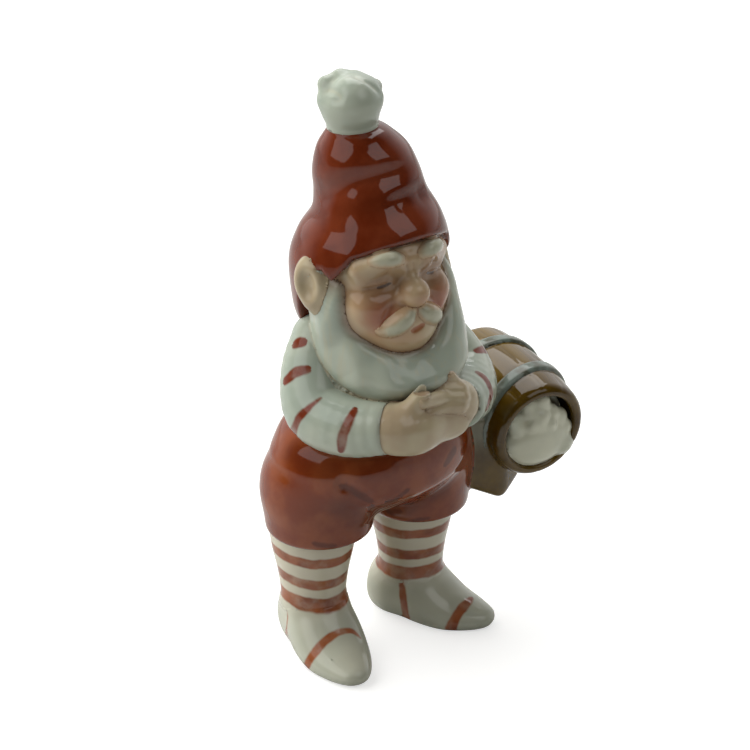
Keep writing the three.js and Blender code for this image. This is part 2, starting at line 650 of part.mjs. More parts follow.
// The barrel's outside in its own frame: its axis on Z, with the mouth at the top.
function barrelOutside(grow = 0) {
  const half = BARREL_LENGTH / 2;
  const wall = [-1, -0.75, -0.5, -0.25, 0, 0.25, 0.5, 0.75, 1].map((share) => {
    return [barrelRadius(share * half) + grow, share * (half + grow)];
  });
  return turned([[0, -half - grow], ...wall, [0, half + grow]]);
}

function barrelBore() {
  const half = BARREL_LENGTH / 2 + 1;
  const wall = [-1, -0.75, -0.5, -0.25, 0, 0.25, 0.5, 0.75, 1].map((share) => {
    return [barrelRadius(share * half) - BARREL_WALL, share * half];
  });
  return turned([[0, -half], ...wall, [0, half]]);
}

function hoopOutside(middle, grow = 0) {
  const [low, high] = [middle - HOOP_WIDTH / 2 - grow, middle + HOOP_WIDTH / 2 + grow];
  const radius = (z) => barrelRadius(z) + HOOP_THICKNESS + SLIP_GAP + grow;
  const bulge = radius(middle) + HOOP_THICKNESS * 0.3;
  return turned([[0, low], [radius(low), low], [bulge, middle], [radius(high), high], [0, high]]);
}

// The barrel's white filling: a plug in the mouth, heaped with lumps on a spiral.
function fillingShape() {
  const mouth = BARREL_LENGTH / 2;
  const room = BARREL_END_RADIUS - BARREL_WALL - SLIP_GAP - 0.4;
  const plug = turned([
    [0, mouth - FILL_DEPTH],
    [room, mouth - FILL_DEPTH],
    [room, mouth - FILL_DEPTH * 0.5],
    [room * 0.8, mouth - FILL_DEPTH * 0.25],
    [0, mouth],
  ]);
  const lumps = Array.from({ length: FILL_LUMPS }, (_, i) => {
    const out = (room - FILL_SAG - LUMP_RADIUS) * Math.sqrt((i + 0.5) / FILL_LUMPS);
    const turn = i * Math.PI * (3 - Math.sqrt(5));
    const size = LUMP_RADIUS * (1 - 0.18 * (i % 3));
    const place = [out * Math.cos(turn), out * Math.sin(turn) - FILL_SAG, mouth - LUMP_DEPTH];
    return blob(place, [size, size, size], 0, [0, 0, 0], 10);
  });
  return joined([plug, ...lumps]);
}

// Matrix that lays the barrel from its own frame at the figure's left hip, with its mouth to the front.
function barrelMatrix() {
  const hoopRadius = BARREL_BELLY_RADIUS + SLIP_GAP + HOOP_THICKNESS;
  const out = HIP_SHIFT + HIP_HALF_WIDTH + BARREL_STANDOFF + hoopRadius;
  const matrix = new THREE.Matrix4().makeRotationFromEuler(
    new THREE.Euler(Math.PI / 2, 0, -toRadians(BARREL_SPLAY), "ZYX"),
  );
  return matrix.setPosition(out, BARREL_BACK, BARREL_Z);
}

// The wooden block that carries the barrel off the hip.
function bracketShape() {
  const keelX = HIP_SHIFT + HIP_HALF_WIDTH + BRACKET_KEEL_OUT;
  const keelZ = FORK_Z - BRACKET_KEEL_DROP;
  const corners = [[keelX, keelZ, -BRACKET_FRONT]];
  for (const side of BOTH) {
    const x = keelX + side.sign * BRACKET_HALF_WIDTH;
    corners.push([x, keelZ + BRACKET_RISE, -BRACKET_FRONT + BRACKET_BEVEL]);
  }
  const points = corners.flatMap(([x, low, front]) =>
    [low, BARREL_Z + BRACKET_TOP].flatMap((z) => [front, BRACKET_BACK].map((y) => [x, y, z])),
  );
  return wasm.Manifold.hull(points);
}

// Cutters: the neighbours grown by the slip joint
const gapStockings = BOTH.map((side) => stockingShape(side, SLIP_GAP));
const gapTorso = torsoShape(SLIP_GAP);
const gapSleeves = BOTH.map((side) => sleeveShape(side, SLIP_GAP));
const gapRightHand = handShape(RIGHT, SLIP_GAP);
const gapLeftHand = handShape(LEFT, SLIP_GAP);
const gapHead = headShape(SLIP_GAP);
const gapEars = BOTH.map((side) => earShape(side, SLIP_GAP));
const gapMoustache = BOTH.map((side) => moustacheShape(side, SLIP_GAP));
const gapBeard = beardShape(SLIP_GAP);
const gapHat = hatOutside(SLIP_GAP).subtract(frontRoom(SLIP_GAP));
const gapPompom = pompomShape(SLIP_GAP);
const barrelPlace = barrelMatrix();
const hoopMiddles = { front: FRONT_HOOP, rear: -REAR_HOOP };
const gapBarrel = moved(
  joined([barrelOutside(SLIP_GAP), ...Object.values(hoopMiddles).map((z) => hoopOutside(z, SLIP_GAP))]),
  barrelPlace,
);

const figurine = new THREE.Group();
const groups = {};
for (const name of ["legs", "body", "head", "barrel"]) {
  groups[name] = new THREE.Group();
  figurine.add(groups[name]);
}

// Adds a solid to a group as a named mesh of glazed porcelain.
function addPiece(group, name, piece, color) {
  const { vertProperties, triVerts } = piece.getMesh();
  const geometry = new THREE.BufferGeometry();
  geometry.setAttribute("position", new THREE.BufferAttribute(vertProperties, 3));
  geometry.setIndex(new THREE.BufferAttribute(triVerts, 1));
  geometry.computeVertexNormals();
  const material = new THREE.MeshStandardMaterial({ color, roughness: 0.15, metalness: 0 });
  const mesh = new THREE.Mesh(geometry, material);
  mesh.name = name;
  group.add(mesh);
}

// Legs
BOTH.forEach((side, i) => {
  const place = new THREE.Group();
  shoeMatrix(side).decompose(place.position, place.quaternion, place.scale);
  groups.legs.add(place);
  const stockingHere = moved(gapStockings[i], shoeMatrix(side).invert());
  addPiece(place, `${side.name}_shoe`, trimmed(shoeShape(), stockingHere), WHITE);
  addPiece(groups.legs, `${side.name}_stocking`, stockingShape(side), WHITE);
});

// Trousers, hollow and open at the waist
const ventBack = LEGS_BACK + HIP_HALF_DEPTH * 0.3;
const seatVent = post(0, ventBack, FORK_Z - CAST_WALL, FORK_Z + TROUSERS_HEIGHT / 2, VENT_RADIUS);
const trousers = trimmed(
  trousersShape(),
  trousersShape(-CAST_WALL),
  seatVent,
  foldShape(),
  ...gapStockings,
  gapTorso,
  ...gapSleeves,
  gapRightHand,
  gapLeftHand,
  gapBarrel,
);
addPiece(groups.legs, "trousers", trousers, RED);

// Shirt and hands
const torsoPour = post(0, 0, WAIST_Z - WAIST_TENON - CAST_WALL, NECK_Z + CAST_WALL, POUR_RADIUS);
const torso = trimmed(torsoShape(), torsoShape(-CAST_WALL), torsoPour, gapHead);
addPiece(groups.body, "torso", torso, WHITE);
BOTH.forEach((side) => {
  const sleeve = trimmed(sleeveShape(side), gapTorso, gapBeard, gapHead, gapHat, gapBarrel);
  addPiece(groups.body, `${side.name}_sleeve`, sleeve, WHITE);
});
addPiece(groups.body, "right_hand", trimmed(handShape(RIGHT), gapTorso, ...gapSleeves), SKIN);
addPiece(groups.body, "left_hand", trimmed(handShape(LEFT), gapTorso, ...gapSleeves, gapRightHand), SKIN);

// Head
addPiece(groups.head, "head", trimmed(headShape(), headHollow()), SKIN);
const faceCutters = [gapHead, ...gapEars, ...gapMoustache];
const beard = trimmed(beardShape(), ...faceCutters, gapTorso, gapRightHand, gapLeftHand);
addPiece(groups.head, "beard", beard, WHITE);
BOTH.forEach((side) => {
  addPiece(groups.head, `${side.name}_ear`, trimmed(earShape(side), gapHead), SKIN);
  addPiece(groups.head, `${side.name}_brow`, trimmed(browShape(side), gapHead, gapHat), WHITE);
  addPiece(groups.head, `${side.name}_moustache`, trimmed(moustacheShape(side), gapHead), WHITE);
});
const hatShell = hatOutside().subtract(hatOutside(-HAT_WALL)).subtract(frontRoom());
const hat = trimmed(hatShell, gapHead, gapTorso, ...gapEars, gapPompom);
addPiece(groups.head, "hat", hat, RED);
addPiece(groups.head, "pompom", pompomShape(), WHITE);

// Barrel in its own frame
barrelPlace.decompose(groups.barrel.position, groups.barrel.quaternion, groups.barrel.scale);
addPiece(groups.barrel, "barrel_staves", trimmed(barrelOutside(), barrelBore()), WOOD);
for (const [name, middle] of Object.entries(hoopMiddles)) {
  const hoop = trimmed(hoopOutside(middle), barrelOutside(SLIP_GAP));
  addPiece(groups.barrel, `barrel_${name}_hoop`, hoop, HOOP_GREY);
}
const headRadius = barrelRadius(BARREL_LENGTH / 2) - BARREL_WALL - SLIP_GAP;
const headBottom = -BARREL_LENGTH / 2 + BARREL_HEAD_INSET;
const rearHead = post(0, 0, headBottom, headBottom + BARREL_HEAD_THICKNESS, headRadius, 28);
addPiece(groups.barrel, "barrel_rear_head", rearHead, WOOD);
addPiece(groups.barrel, "barrel_filling", fillingShape(), WHITE);
const bracket = trimmed(bracketShape(), trousersShape(SLIP_GAP), gapBarrel);
addPiece(figurine, "barrel_bracket", bracket, WOOD);

// Origin under the middle of the box, on the floor
const bounds = new THREE.Box3().setFromObject(figurine, true);
const middle = bounds.getCenter(new THREE.Vector3());
for (const child of figurine.children) {
  child.position.x -= middle.x;
  child.position.y -= middle.y;
  child.position.z -= bounds.min.z;
}

export default figurine;
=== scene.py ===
import math
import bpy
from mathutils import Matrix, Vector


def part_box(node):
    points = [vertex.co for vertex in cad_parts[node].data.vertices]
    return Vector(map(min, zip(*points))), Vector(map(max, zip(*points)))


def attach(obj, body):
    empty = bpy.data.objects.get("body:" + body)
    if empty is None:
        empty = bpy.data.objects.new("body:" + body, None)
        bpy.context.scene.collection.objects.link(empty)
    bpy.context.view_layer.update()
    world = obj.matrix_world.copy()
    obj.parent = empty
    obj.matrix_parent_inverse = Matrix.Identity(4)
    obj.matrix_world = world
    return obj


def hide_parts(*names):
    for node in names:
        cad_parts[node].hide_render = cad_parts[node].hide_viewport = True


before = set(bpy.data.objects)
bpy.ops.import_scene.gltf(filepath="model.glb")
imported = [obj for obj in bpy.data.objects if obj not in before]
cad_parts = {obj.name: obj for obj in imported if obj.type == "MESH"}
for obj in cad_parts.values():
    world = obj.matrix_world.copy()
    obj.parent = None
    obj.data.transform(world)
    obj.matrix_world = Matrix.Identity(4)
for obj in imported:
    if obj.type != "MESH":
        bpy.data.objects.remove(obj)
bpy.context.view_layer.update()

from concurrent.futures import ThreadPoolExecutor
from functools import partial, reduce

import bpy
import numpy as np
from mathutils import Euler, Matrix, Vector

# The figurine is sculpted in millimetres in the figure's own frame: x to its left, y backward, z up
# from the soles, with the middle of the body on the z axis. ORIGIN carries that frame to the part's.
MM = 0.001
LEGS_BACK = 3.0


def cad_box(node):
    """Lowest and highest corner of a CAD node, in millimetres, in the part's frame."""
    low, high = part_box(node)
    return np.array(low) / MM, np.array(high) / MM


def cad_middle(node):
    low, high = cad_box(node)
    return (low + high) / 2


RIGHT_LEG = cad_middle("right_stocking")
LEFT_LEG = cad_middle("left_stocking")
ORIGIN = np.array([(RIGHT_LEG[0] + LEFT_LEG[0]) / 2, RIGHT_LEG[1] - LEGS_BACK, 0.0])
HEAD_Z = 97.5
HEAD_MIDDLE = np.array([0.0, 0.0, HEAD_Z], np.float32)

# The photograph's view of it.
PICTURE = 750
VIEW_AZIMUTH = -34.0
VIEW_ELEVATION = 27.0
VIEW_DISTANCE = 700.0
VIEW_TARGET = np.array([1.37, -0.92, 69.3])
PIXELS_PER_MM = 4.24
SENSOR = 36.0


def view_way(azimuth, elevation):
    """The direction some degrees round from the camera and some degrees up."""
    az = math.radians(VIEW_AZIMUTH + azimuth)
    el = math.radians(elevation)
    return np.array([math.sin(az) * math.cos(el), -math.cos(az) * math.cos(el), math.sin(el)])


VIEW_BACK = view_way(0.0, VIEW_ELEVATION)
VIEW_RIGHT = view_way(90.0, 0.0)
VIEW_UP = np.cross(VIEW_BACK, VIEW_RIGHT)
VIEW_EYE = VIEW_TARGET + VIEW_DISTANCE * VIEW_BACK


# Fields: a function from points to the distance, in millimetres, outside a shape.
TETRA = np.array([(1, 1, 1), (1, -1, -1), (-1, 1, -1), (-1, -1, 1)], float) / math.sqrt(3.0)
FLIP = np.array([-1, 1, 1], np.float32)


def numbers(values):
    return np.array(values, np.float32)


def smooth_min(a, b, blend):
    share = np.clip(0.5 + 0.5 * (b - a) / blend, 0.0, 1.0)
    return b + (a - b) * share - blend * share * (1.0 - share)


def smooth_max(a, b, blend):
    return -smooth_min(-a, -b, blend)


def blended(mix, blend, fields):
    """Fields run together, one after another."""
    return lambda p: reduce(lambda d, field: mix(d, field(p), blend), fields[1:], fields[0](p))


def joined(blend, *fields):
    return blended(smooth_min, blend, fields)


def kept(blend, *fields):
    """What lies inside every one of some shapes."""
    return blended(smooth_max, blend, fields)


def outside(body):
    return lambda p: -body(p)


def carved(blend, body, *tools):
    return kept(blend, body, *[outside(tool) for tool in tools])


def turned(degrees):
    """Rotation matrix from x, y and z turns."""
    return numbers(Euler([math.radians(a) for a in degrees]).to_matrix())


def egg(centre, radii, turn=(0, 0, 0)):
    centre = numbers(centre)
    radii = numbers(radii)
    axes = turned(turn)

    def field(p):
        q = (p - centre) @ axes / radii
        reach = np.linalg.norm(q, axis=1)
        slope = np.linalg.norm(q / radii, axis=1)
        return reach * (reach - 1.0) / np.maximum(slope, 1e-5)
    return field


def half(point, normal):
    """Everything behind a plane whose normal points out."""
    point = numbers(point)
    normal = numbers(normal) / np.linalg.norm(normal)
    return lambda p: (p - point) @ normal


def spline(rows, steps=6):
    """A smooth run through rows of numbers, with the same columns."""
    rows = np.array(rows, float)
    padded = np.vstack([2 * rows[0] - rows[1], rows, 2 * rows[-1] - rows[-2]])
    out = []
    for before, start, end, after in zip(padded, padded[1:], padded[2:], padded[3:]):
        for t in np.arange(steps) / steps:
            cubic = 3 * start - before - 3 * end + after
            square = 2 * before - 5 * start + 4 * end - after
            out.append(start + 0.5 * (t * (end - before) + t * t * square + t ** 3 * cubic))
    out.append(rows[-1])
    return np.array(out)


def tube(rows, steps=4):
    """A round limb along a smooth path: rows of x, y, z and radius."""
    path = numbers(spline(rows, steps))

    def field(p):
        best = np.full(len(p), 1e3, np.float32)
        for a, b in zip(path, path[1:]):
            run = b[:3] - a[:3]
            share = np.clip((p - a[:3]) @ run / (run @ run), 0.0, 1.0)
            gap = np.linalg.norm(p - a[:3] - share[:, None] * run, axis=1)
            np.minimum(best, gap - a[3] - share * (b[3] - a[3]), out=best)
        return best
    return field


def oval_gap(u, v, wide, deep, core):
    """Distance outside an ellipse of points given in its half widths, with its depth at the very middle."""
    reach = np.hypot(u, v)
    slope = np.hypot(u / wide, v / deep)
    return (reach - 1.0) * np.where(reach > 0.05, reach / np.maximum(slope, 1e-6), core)


def stack(rows, cap):
    """Elliptic sections up the z axis: rows of z, x, y, half width and half depth."""
    table = spline(rows, 12)
    flare = np.gradient((table[:, 3] + table[:, 4]) / 2, table[:, 0])
    columns = [*table.T[1:], 1.0 / np.hypot(1.0, flare)]

    def field(p):
        x, y, wide, deep, lean = (numbers(np.interp(p[:, 2], table[:, 0], column)) for column in columns)
        u = (p[:, 0] - x) / wide
        v = (p[:, 1] - y) / deep
        sides = lean * oval_gap(u, v, wide, deep, np.minimum(wide, deep))
        ends = np.maximum(table[0, 0] - p[:, 2], p[:, 2] - table[-1, 0])
        return smooth_max(sides, ends, cap)
    return field


def along(path, p):
    """Distance from points to a path, and how far along it the nearest place is, from 0 to 1."""
    path = numbers(path)
    best = np.full(len(p), 1e6, np.float32)
    place = np.zeros(len(p), np.float32)
    steps = np.linalg.norm(np.diff(path[:, :3], axis=0), axis=1)
    reached = np.concatenate([[0.0], np.cumsum(steps)])
    for i, length in enumerate(steps):
        run = (path[i + 1, :3] - path[i, :3]) / max(length, 1e-6)
        t = np.clip((p - path[i, :3]) @ run, 0.0, length)
        gap = np.linalg.norm(p - path[i, :3] - t[:, None] * run, axis=1)
        closer = gap < best
        best[closer] = gap[closer]
        place[closer] = reached[i] + t[closer]
    return best, place / reached[-1]


def steepness(body, path):
    """How fast a field changes along a path, which is 1 for a true distance."""
    reach = 0.4
    slope = sum(way * body(numbers(path + way * reach))[:, None] for way in TETRA) * 3.0 / (4 * reach)
    return np.clip(np.linalg.norm(slope, axis=1), 0.25, 3.0)


def creased(body, *creases):
    """Soft furrows, or ridges where the depth is negative: each a path, a width and a depth."""
    scales = [steepness(body, path) for path, _, _ in creases]

    def field(p):
        d = body(p)
        for (path, width, depth), scale in zip(creases, scales):
            low = path.min(axis=0) - 2.5 * width
            high = path.max(axis=0) + 2.5 * width
            near = np.all((p > low) & (p < high), axis=1)
            if near.any():
                gap, place = along(path, p[near])
                fade = np.clip(np.minimum(place, 1.0 - place) * 4.0, 0.0, 1.0)
                fade *= np.interp(place, np.linspace(0.0, 1.0, len(scale)), scale)
                d[near] += depth * fade * np.exp(-(gap / width) ** 2)
        return d
    return field


def mirrored(body):
    return lambda p: body(p * FLIP)


def seen(body, pixels):
    """Where lines of sight through these picture points meet a shape, as a smooth path on it."""
    pixels = spline(pixels, 6)
    focal = PIXELS_PER_MM * VIEW_DISTANCE
    across = (pixels[:, :1] - PICTURE / 2) * VIEW_RIGHT
    upward = (PICTURE / 2 - pixels[:, 1:2]) * VIEW_UP
    rays = across + upward - focal * VIEW_BACK
    rays /= np.linalg.norm(rays, axis=1, keepdims=True)
    reached = np.full(len(pixels), VIEW_DISTANCE - 120.0)
    for _ in range(45):
        reached += 0.8 * np.clip(body(VIEW_EYE + reached[:, None] * rays), -3.0, 8.0)
    reached = np.minimum(reached, VIEW_DISTANCE + 60.0)
    return VIEW_EYE + reached[:, None] * rays


def furrowed(body, lines):
    """A shape with furrows along lines of the picture: each a line, a width and a depth."""
    return creased(body, *[(seen(body, line), width, depth) for line, width, depth in lines])


# Shoes and stockings. A shoe's sections are shares of its length and half width, its bottom and its top.
SHOE_LENGTH = {"right": 37.0, "left": 33.8}
SHOE_HALF_WIDTH = 8.8
HEEL_BACK = 11.0
LEG_OUT = 14.0
SHOE_THINNEST = 0.4
SHOE_CORE = 4.0
TOE_OUT = {"right": 8.0, "left": 29.0}
LEG_FORWARD = {"right": 0.0, "left": 1.0}
SIGN = {"right": -1.0, "left": 1.0}
SHOE_SECTIONS = [
    (0.00, 0.25, 3.0, 8.5),
    (0.05, 0.60, -0.5, 12.0),
    (0.18, 0.86, -3.0, 16.0),
    (0.34, 0.94, -3.5, 17.5),
    (0.50, 1.00, -3.5, 13.0),
    (0.68, 0.92, -3.0, 7.7),
    (0.84, 0.68, -1.6, 5.6),
    (0.95, 0.40, 0.0, 4.3),
    (1.00, 0.12, 1.4, 2.9),
]
STOCKING_ROWS = [(11, 7.9), (15, 8.0), (20.5, 8.7), (27, 10.0), (33, 10.7), (39, 11)]


def shoe_local(side, p):
    """Points in the shoe's own frame: x across it, y backward along it, z up from the floor."""
    turn = turned((0, 0, SIGN[side] * TOE_OUT[side]))
    return (p - numbers([SIGN[side] * LEG_OUT, LEGS_BACK - LEG_FORWARD[side], 0])) @ turn


def shoe(side):
    table = spline(SHOE_SECTIONS, 8)

    def field(p):
        q = shoe_local(side, p)
        share = (HEEL_BACK - q[:, 1]) / SHOE_LENGTH[side]
        wide, low, high = (numbers(np.interp(share, table[:, 0], table[:, c])) for c in (1, 2, 3))
        wide = np.maximum(wide * SHOE_HALF_WIDTH, SHOE_THINNEST)
        tall = np.maximum((high - low) / 2, SHOE_THINNEST)
        v = (q[:, 2] - (low + high) / 2) / tall
        side_gap = oval_gap(q[:, 0] / wide, v, wide, tall, SHOE_CORE)
        ends = np.maximum(-share, share - 1.0) * SHOE_LENGTH[side]
        return smooth_max(smooth_max(side_gap, ends, 1.5), -q[:, 2], 1.2)
    return field


def stocking(side):
    x = SIGN[side] * LEG_OUT
    y = LEGS_BACK - LEG_FORWARD[side]
    return stack([(z, x, y, r, r) for z, r in STOCKING_ROWS], 1.0)


# Trousers: a round seat, two puffed legs, and the folds between belly and thighs.
SEAT_ROWS = [
    (36.0, 0.8, 3.0, 12.0, 8.6),
    (39.5, 0.7, 2.6, 21.6, 15.0),
    (45.5, 0.6, 1.2, 26.0, 19.6),
    (51.5, 0.7, 0.0, 25.6, 20.0),
    (56.0, 0.9, 0.0, 23.7, 19.4),
    (60.0, 1.0, 0.0, 20.6, 18.0),
]
LEG_ROWS = [
    (0.0, 11.8), (1.4, 12.6), (5.0, 13.1), (9.5, 13.8), (12.5, 13.7), (16.0, 12.4), (20.0, 9.0),
]
HEMS = {"right": 31.6, "left": 30.4}
LEG_SHIFT = {"right": (0.9, -1.5), "left": (0.7, -2.2)}
LEG_FULLNESS = {"right": 1.02, "left": 1.0}
LEG_RISE = {"right": 1.0, "left": 1.14}
BELLY_FOLDS = [
    ([(334, 482), (344, 487), (358, 495), (372, 503)], 1.8, 1.3),
]
SEAT_CREASE = [(0.5, 22.0, 52.0), (0.5, 21.0, 46.0), (0.5, 17.0, 39.0), (0.5, 10.0, 36.0)]
SEAT_CREASE_WIDTH = 2.4
SEAT_CREASE_DEPTH = 1.2


def trouser_leg(side):
    out, back = LEG_SHIFT[side]
    x = SIGN[side] * LEG_OUT + out
    rows = []
    for up, radius in LEG_ROWS:
        r = radius * LEG_FULLNESS[side]
        rows.append((HEMS[side] + up * LEG_RISE[side], x, LEGS_BACK + back, r, r))
    return stack(rows, 1.6)


def trousers():
    legs = joined(0.7, trouser_leg("right"), trouser_leg("left"))
    plain = joined(3.0, stack(SEAT_ROWS, 3.0), legs)
    seat_crease = (spline(SEAT_CREASE), SEAT_CREASE_WIDTH, SEAT_CREASE_DEPTH)
    return creased(furrowed(plain, BELLY_FOLDS), seat_crease)


# Shirt: a torso and two bent sleeves.
TORSO_ROWS = [
    (54.0, 0, -0.5, 17.5, 15.5),
    (59.0, 0, -0.5, 18.5, 16.5),
    (65.7, 0, -1.0, 18.9, 17.2),
    (73.8, 0, -0.5, 17.9, 16.5),
    (81.1, 0, 0.0, 15.2, 14.2),
    (88.0, 0, 0.0, 10.5, 10.5),
]
SLEEVE_ROWS = {
    "right": [
        (-13.0, 1.5, 82.0, 6.2),
        (-16.4, -1.0, 75.0, 7.2),
        (-18.4, -6.5, 68.2, 7.7),
        (-15.6, -15.0, 66.9, 7.2),
        (-10.0, -22.8, 68.0, 6.0),
    ],
    "left": [
        (13.0, 1.5, 82.0, 6.4),
        (18.6, -1.0, 74.5, 7.6),
        (21.6, -6.5, 67.4, 8.0),
        (18.0, -14.5, 66.2, 7.3),
        (10.6, -21.5, 67.6, 6.0),
    ],
}


def before_cuff(side):
    """Everything on the sleeve's side of its end."""
    last, end = (np.array(row[:3]) for row in SLEEVE_ROWS[side][-2:])
    return half(end, end - last)


def sleeve(side):
    return kept(0.8, tube(SLEEVE_ROWS[side]), before_cuff(side))


# Clasped hands: a broad right mitt with the left hand laid over it. A limb is rows of x, y, z and radius,
# and an egg has a middle, radii and turns.
RIGHT_WRIST = [(-12.0, -20.0, 67.6, 6.1), (-8.0, -23.4, 67.8, 6.0), (-4.0, -24.2, 67.2, 5.6)]
RIGHT_PALM = ((-1.5, -24.2, 66.5), (9.8, 4.8, 6.0), (0, 0, 6))
RIGHT_FINGERS = ((6.8, -22.8, 65.7), (5.8, 4.2, 5.2), (0, 0, -12))
THUMB = [(-6.0, -25.0, 72.0, 2.4), (-3.4, -26.2, 75.7, 2.0), (-2.2, -26.8, 78.2, 1.5)]
LEFT_WRIST = [(14.0, -17.8, 67.2, 5.6), (10.4, -21.4, 68.4, 5.4)]
LEFT_PALM = ((6.4, -22.8, 71.2), (6.8, 4.4, 4.3), (0, 0, -12))
LEFT_TIP = [(8.8, -23.2, 73.6, 2.0), (7.0, -24.0, 77.0, 1.2)]
FINGERS = [
    [(460, 389), (445, 389), (431, 393)],
    [(462, 397), (444, 397), (424, 402)],
    [(460, 405), (446, 406), (428, 411)],
]
FINGER_RADII = (1.7, 1.8, 1.5)
FINGER_DEPTHS = (1.0, 1.0, 1.2)


def right_hand():
    mitt = joined(2.5, tube(RIGHT_WRIST), egg(*RIGHT_PALM), egg(*RIGHT_FINGERS))
    return carved(0.6, joined(1.6, mitt, tube(THUMB)), before_cuff("right"))


def left_hand():
    mitt = joined(2.2, tube(LEFT_WRIST), egg(*LEFT_PALM))
    return carved(0.6, joined(1.4, mitt, tube(LEFT_TIP, 3)), before_cuff("left"))


def hands():
    right = right_hand()
    left = left_hand()
    both = joined(0.5, right, left)
    fingers = []
    for line in FINGERS:
        places = seen(both, line)[::6] - np.outer(FINGER_DEPTHS, VIEW_BACK)
        fingers.append(tube([(*place, radius) for place, radius in zip(places, FINGER_RADII)]))
    return right, joined(1.0, left, joined(0.4, *fingers))


# Head, with the face built forward of a round skull. Its shapes are placed from the middle of the head,
# and those off the middle are the right side's.
SKULL = ((0, 0, 0), (16.6, 17.0, 16.5))
JAW = ((0, -10.2, -6.2), (12.6, 9.8, 8.4))
CHIN = ((0, -15.6, -9.8), (6.4, 4.8, 4.6))
FOREHEAD = ((0, -8.6, 8.6), (12.6, 8.8, 6.0))
NECK = [(0, 0, -18, 9.0), (0, 0, -8, 9.0)]
CHEEK = ((-7.8, -12.6, -2.6), (5.4, 4.6, 4.6))
BROW_RIDGE = [(-2.4, -16.2, 7.0, 1.8), (-6.0, -15.6, 8.4, 2.4), (-11.0, -12.4, 6.8, 2.0)]
EYELID = ((-7.4, -13.4, 4.4), (4.4, 2.4, 2.4), (0, 0, -18))
NOSE_BALL = ((0, -19.0, 0.9), (3.5, 3.6, 3.4))
NOSE_BRIDGE = [(0, -15.6, 7.6, 2.4), (0, -16.6, 4.6, 2.2), (0, -18.2, 2.0, 2.6)]
NOSE_WING = ((-2.9, -17.6, 0.2), (1.1, 1.5, 1.3))
EAR_TURN = (-14, 8, 26)
EAR_SHELL = ((-17.6, -3.0, 1.8), (2.7, 4.2, 6.0), EAR_TURN)
EAR_LOBE = ((-17.0, -3.8, -3.0), (2.0, 2.3, 2.5))
EAR_CUP = ((-20.6, -4.6, 2.0), (2.6, 2.6, 4.0), EAR_TURN)
BROW_ROWS = [
    (-3.2, -17.2, 9.2, 1.2),
    (-5.4, -17.4, 10.0, 1.7),
    (-7.6, -16.4, 9.9, 1.5),
    (-9.2, -15.4, 9.4, 0.7),
]
MOUSTACHE_ROWS = [
    (-1.5, -19.4, -3.4, 1.4),
    (-3.2, -19.4, -4.8, 2.3),
    (-5.4, -18.4, -6.4, 2.3),
    (-7.4, -17.0, -7.2, 1.4),
    (-8.8, -15.9, -7.0, 0.5),
]

# Lines of the face in the picture, and the creases along them: a line, a width and a depth.
EYE = [(361, 291), (371, 289), (381, 287), (391, 283)]
EYE_DARK = [(377, 288), (384, 286), (391, 283)]
SMILE = [(397, 301), (391, 309), (386, 318), (383, 328)]
UNDER_EYE = [(365, 296), (376, 297), (388, 293), (396, 288)]
OVER_EYE = [(365, 286), (375, 282), (385, 276), (391, 268)]
MOUTH = [(411, 331), (415, 330), (420, 327), (425, 324)]
FROWNS = [[(405, 262), (408, 268), (408, 275)], [(412, 260), (414, 266), (413, 273)]]
SIDE_CREASES = [(EYE, 0.7, 0.55), (SMILE, 1.1, 0.6), (UNDER_EYE, 0.9, 0.25), (OVER_EYE, 0.8, 0.35)]
MIDDLE_CREASES = [(MOUTH, 0.8, 0.45), (FROWNS[0], 0.6, 0.25), (FROWNS[1], 0.6, 0.25)]


def at_head(body):
    """A shape that is made round the middle of the head, put where the head is."""
    return lambda p: body(p - HEAD_MIDDLE)


def plain_head():
    skull = joined(4.0, egg(*SKULL), egg(*JAW), egg(*CHIN), egg(*FOREHEAD), tube(NECK))
    side = joined(1.6, egg(*CHEEK), tube(BROW_RIDGE), egg(*EYELID))
    wing = egg(*NOSE_WING)
    nose = joined(0.9, egg(*NOSE_BALL), tube(NOSE_BRIDGE), wing, mirrored(wing))
    return at_head(joined(1.0, joined(2.2, skull, side, mirrored(side)), nose))


def head():
    plain = plain_head()
    creases = []
    for line, width, depth in SIDE_CREASES:
        path = seen(plain, line)
        creases += [(path, width, depth), (path * FLIP, width, depth)]
    creases += [(seen(plain, line), width, depth) for line, width, depth in MIDDLE_CREASES]
    return creased(plain, *creases)


def right_ear():
    return at_head(carved(1.2, joined(2.0, egg(*EAR_SHELL), egg(*EAR_LOBE)), egg(*EAR_CUP)))


def tuft(rows, side):
    """The rows of a brow or a moustache half on either side of the face."""
    return [(-SIGN[side] * x, y, z + HEAD_Z, radius) for x, y, z, radius in rows]


# Beard: an apron from ear to ear, open round the face.
BEARD_ROWS = [
    (70.5, 0, -11.5, 9.0, 7.0),
    (72.7, 1.2, -11.0, 13.4, 11.5),
    (77.0, 1.5, -9.0, 17.4, 15.8),
    (81.8, 1.6, -6.0, 18.9, 17.0),
    (88.3, 1.6, -4.2, 18.6, 16.4),
    (94.3, 1.2, -2.0, 18.4, 16.1),
    (99.5, 0.4, 0.0, 17.8, 14.6),
    (104.0, 0, 0.0, 17.0, 13.8),
]
FACE_HALF_WIDTH = 12.4
FACE_HALF_HEIGHT = 15.0
FACE_SQUARENESS = 2.7
FACE_RISE = 1.2
BEARD_PLANES = [
    ([(328, 336), (338, 360), (352, 388)], 3.0, 0.6),
    ([(366, 350), (370, 372), (372, 398)], 3.0, 0.6),
    ([(404, 354), (404, 370), (396, 388)], 2.6, 0.5),
]
LOCK_ROWS = [
    (-14.0, -8.8, HEAD_Z + 1.4, 1.3),
    (-14.4, -8.3, HEAD_Z - 2.4, 2.4),
    (-14.2, -6.8, HEAD_Z - 8.0, 3.4),
    (-12.0, -5.0, HEAD_Z - 13.0, 3.4),
]
BEARD_BACK = (0.0, 0.5, 0.0)
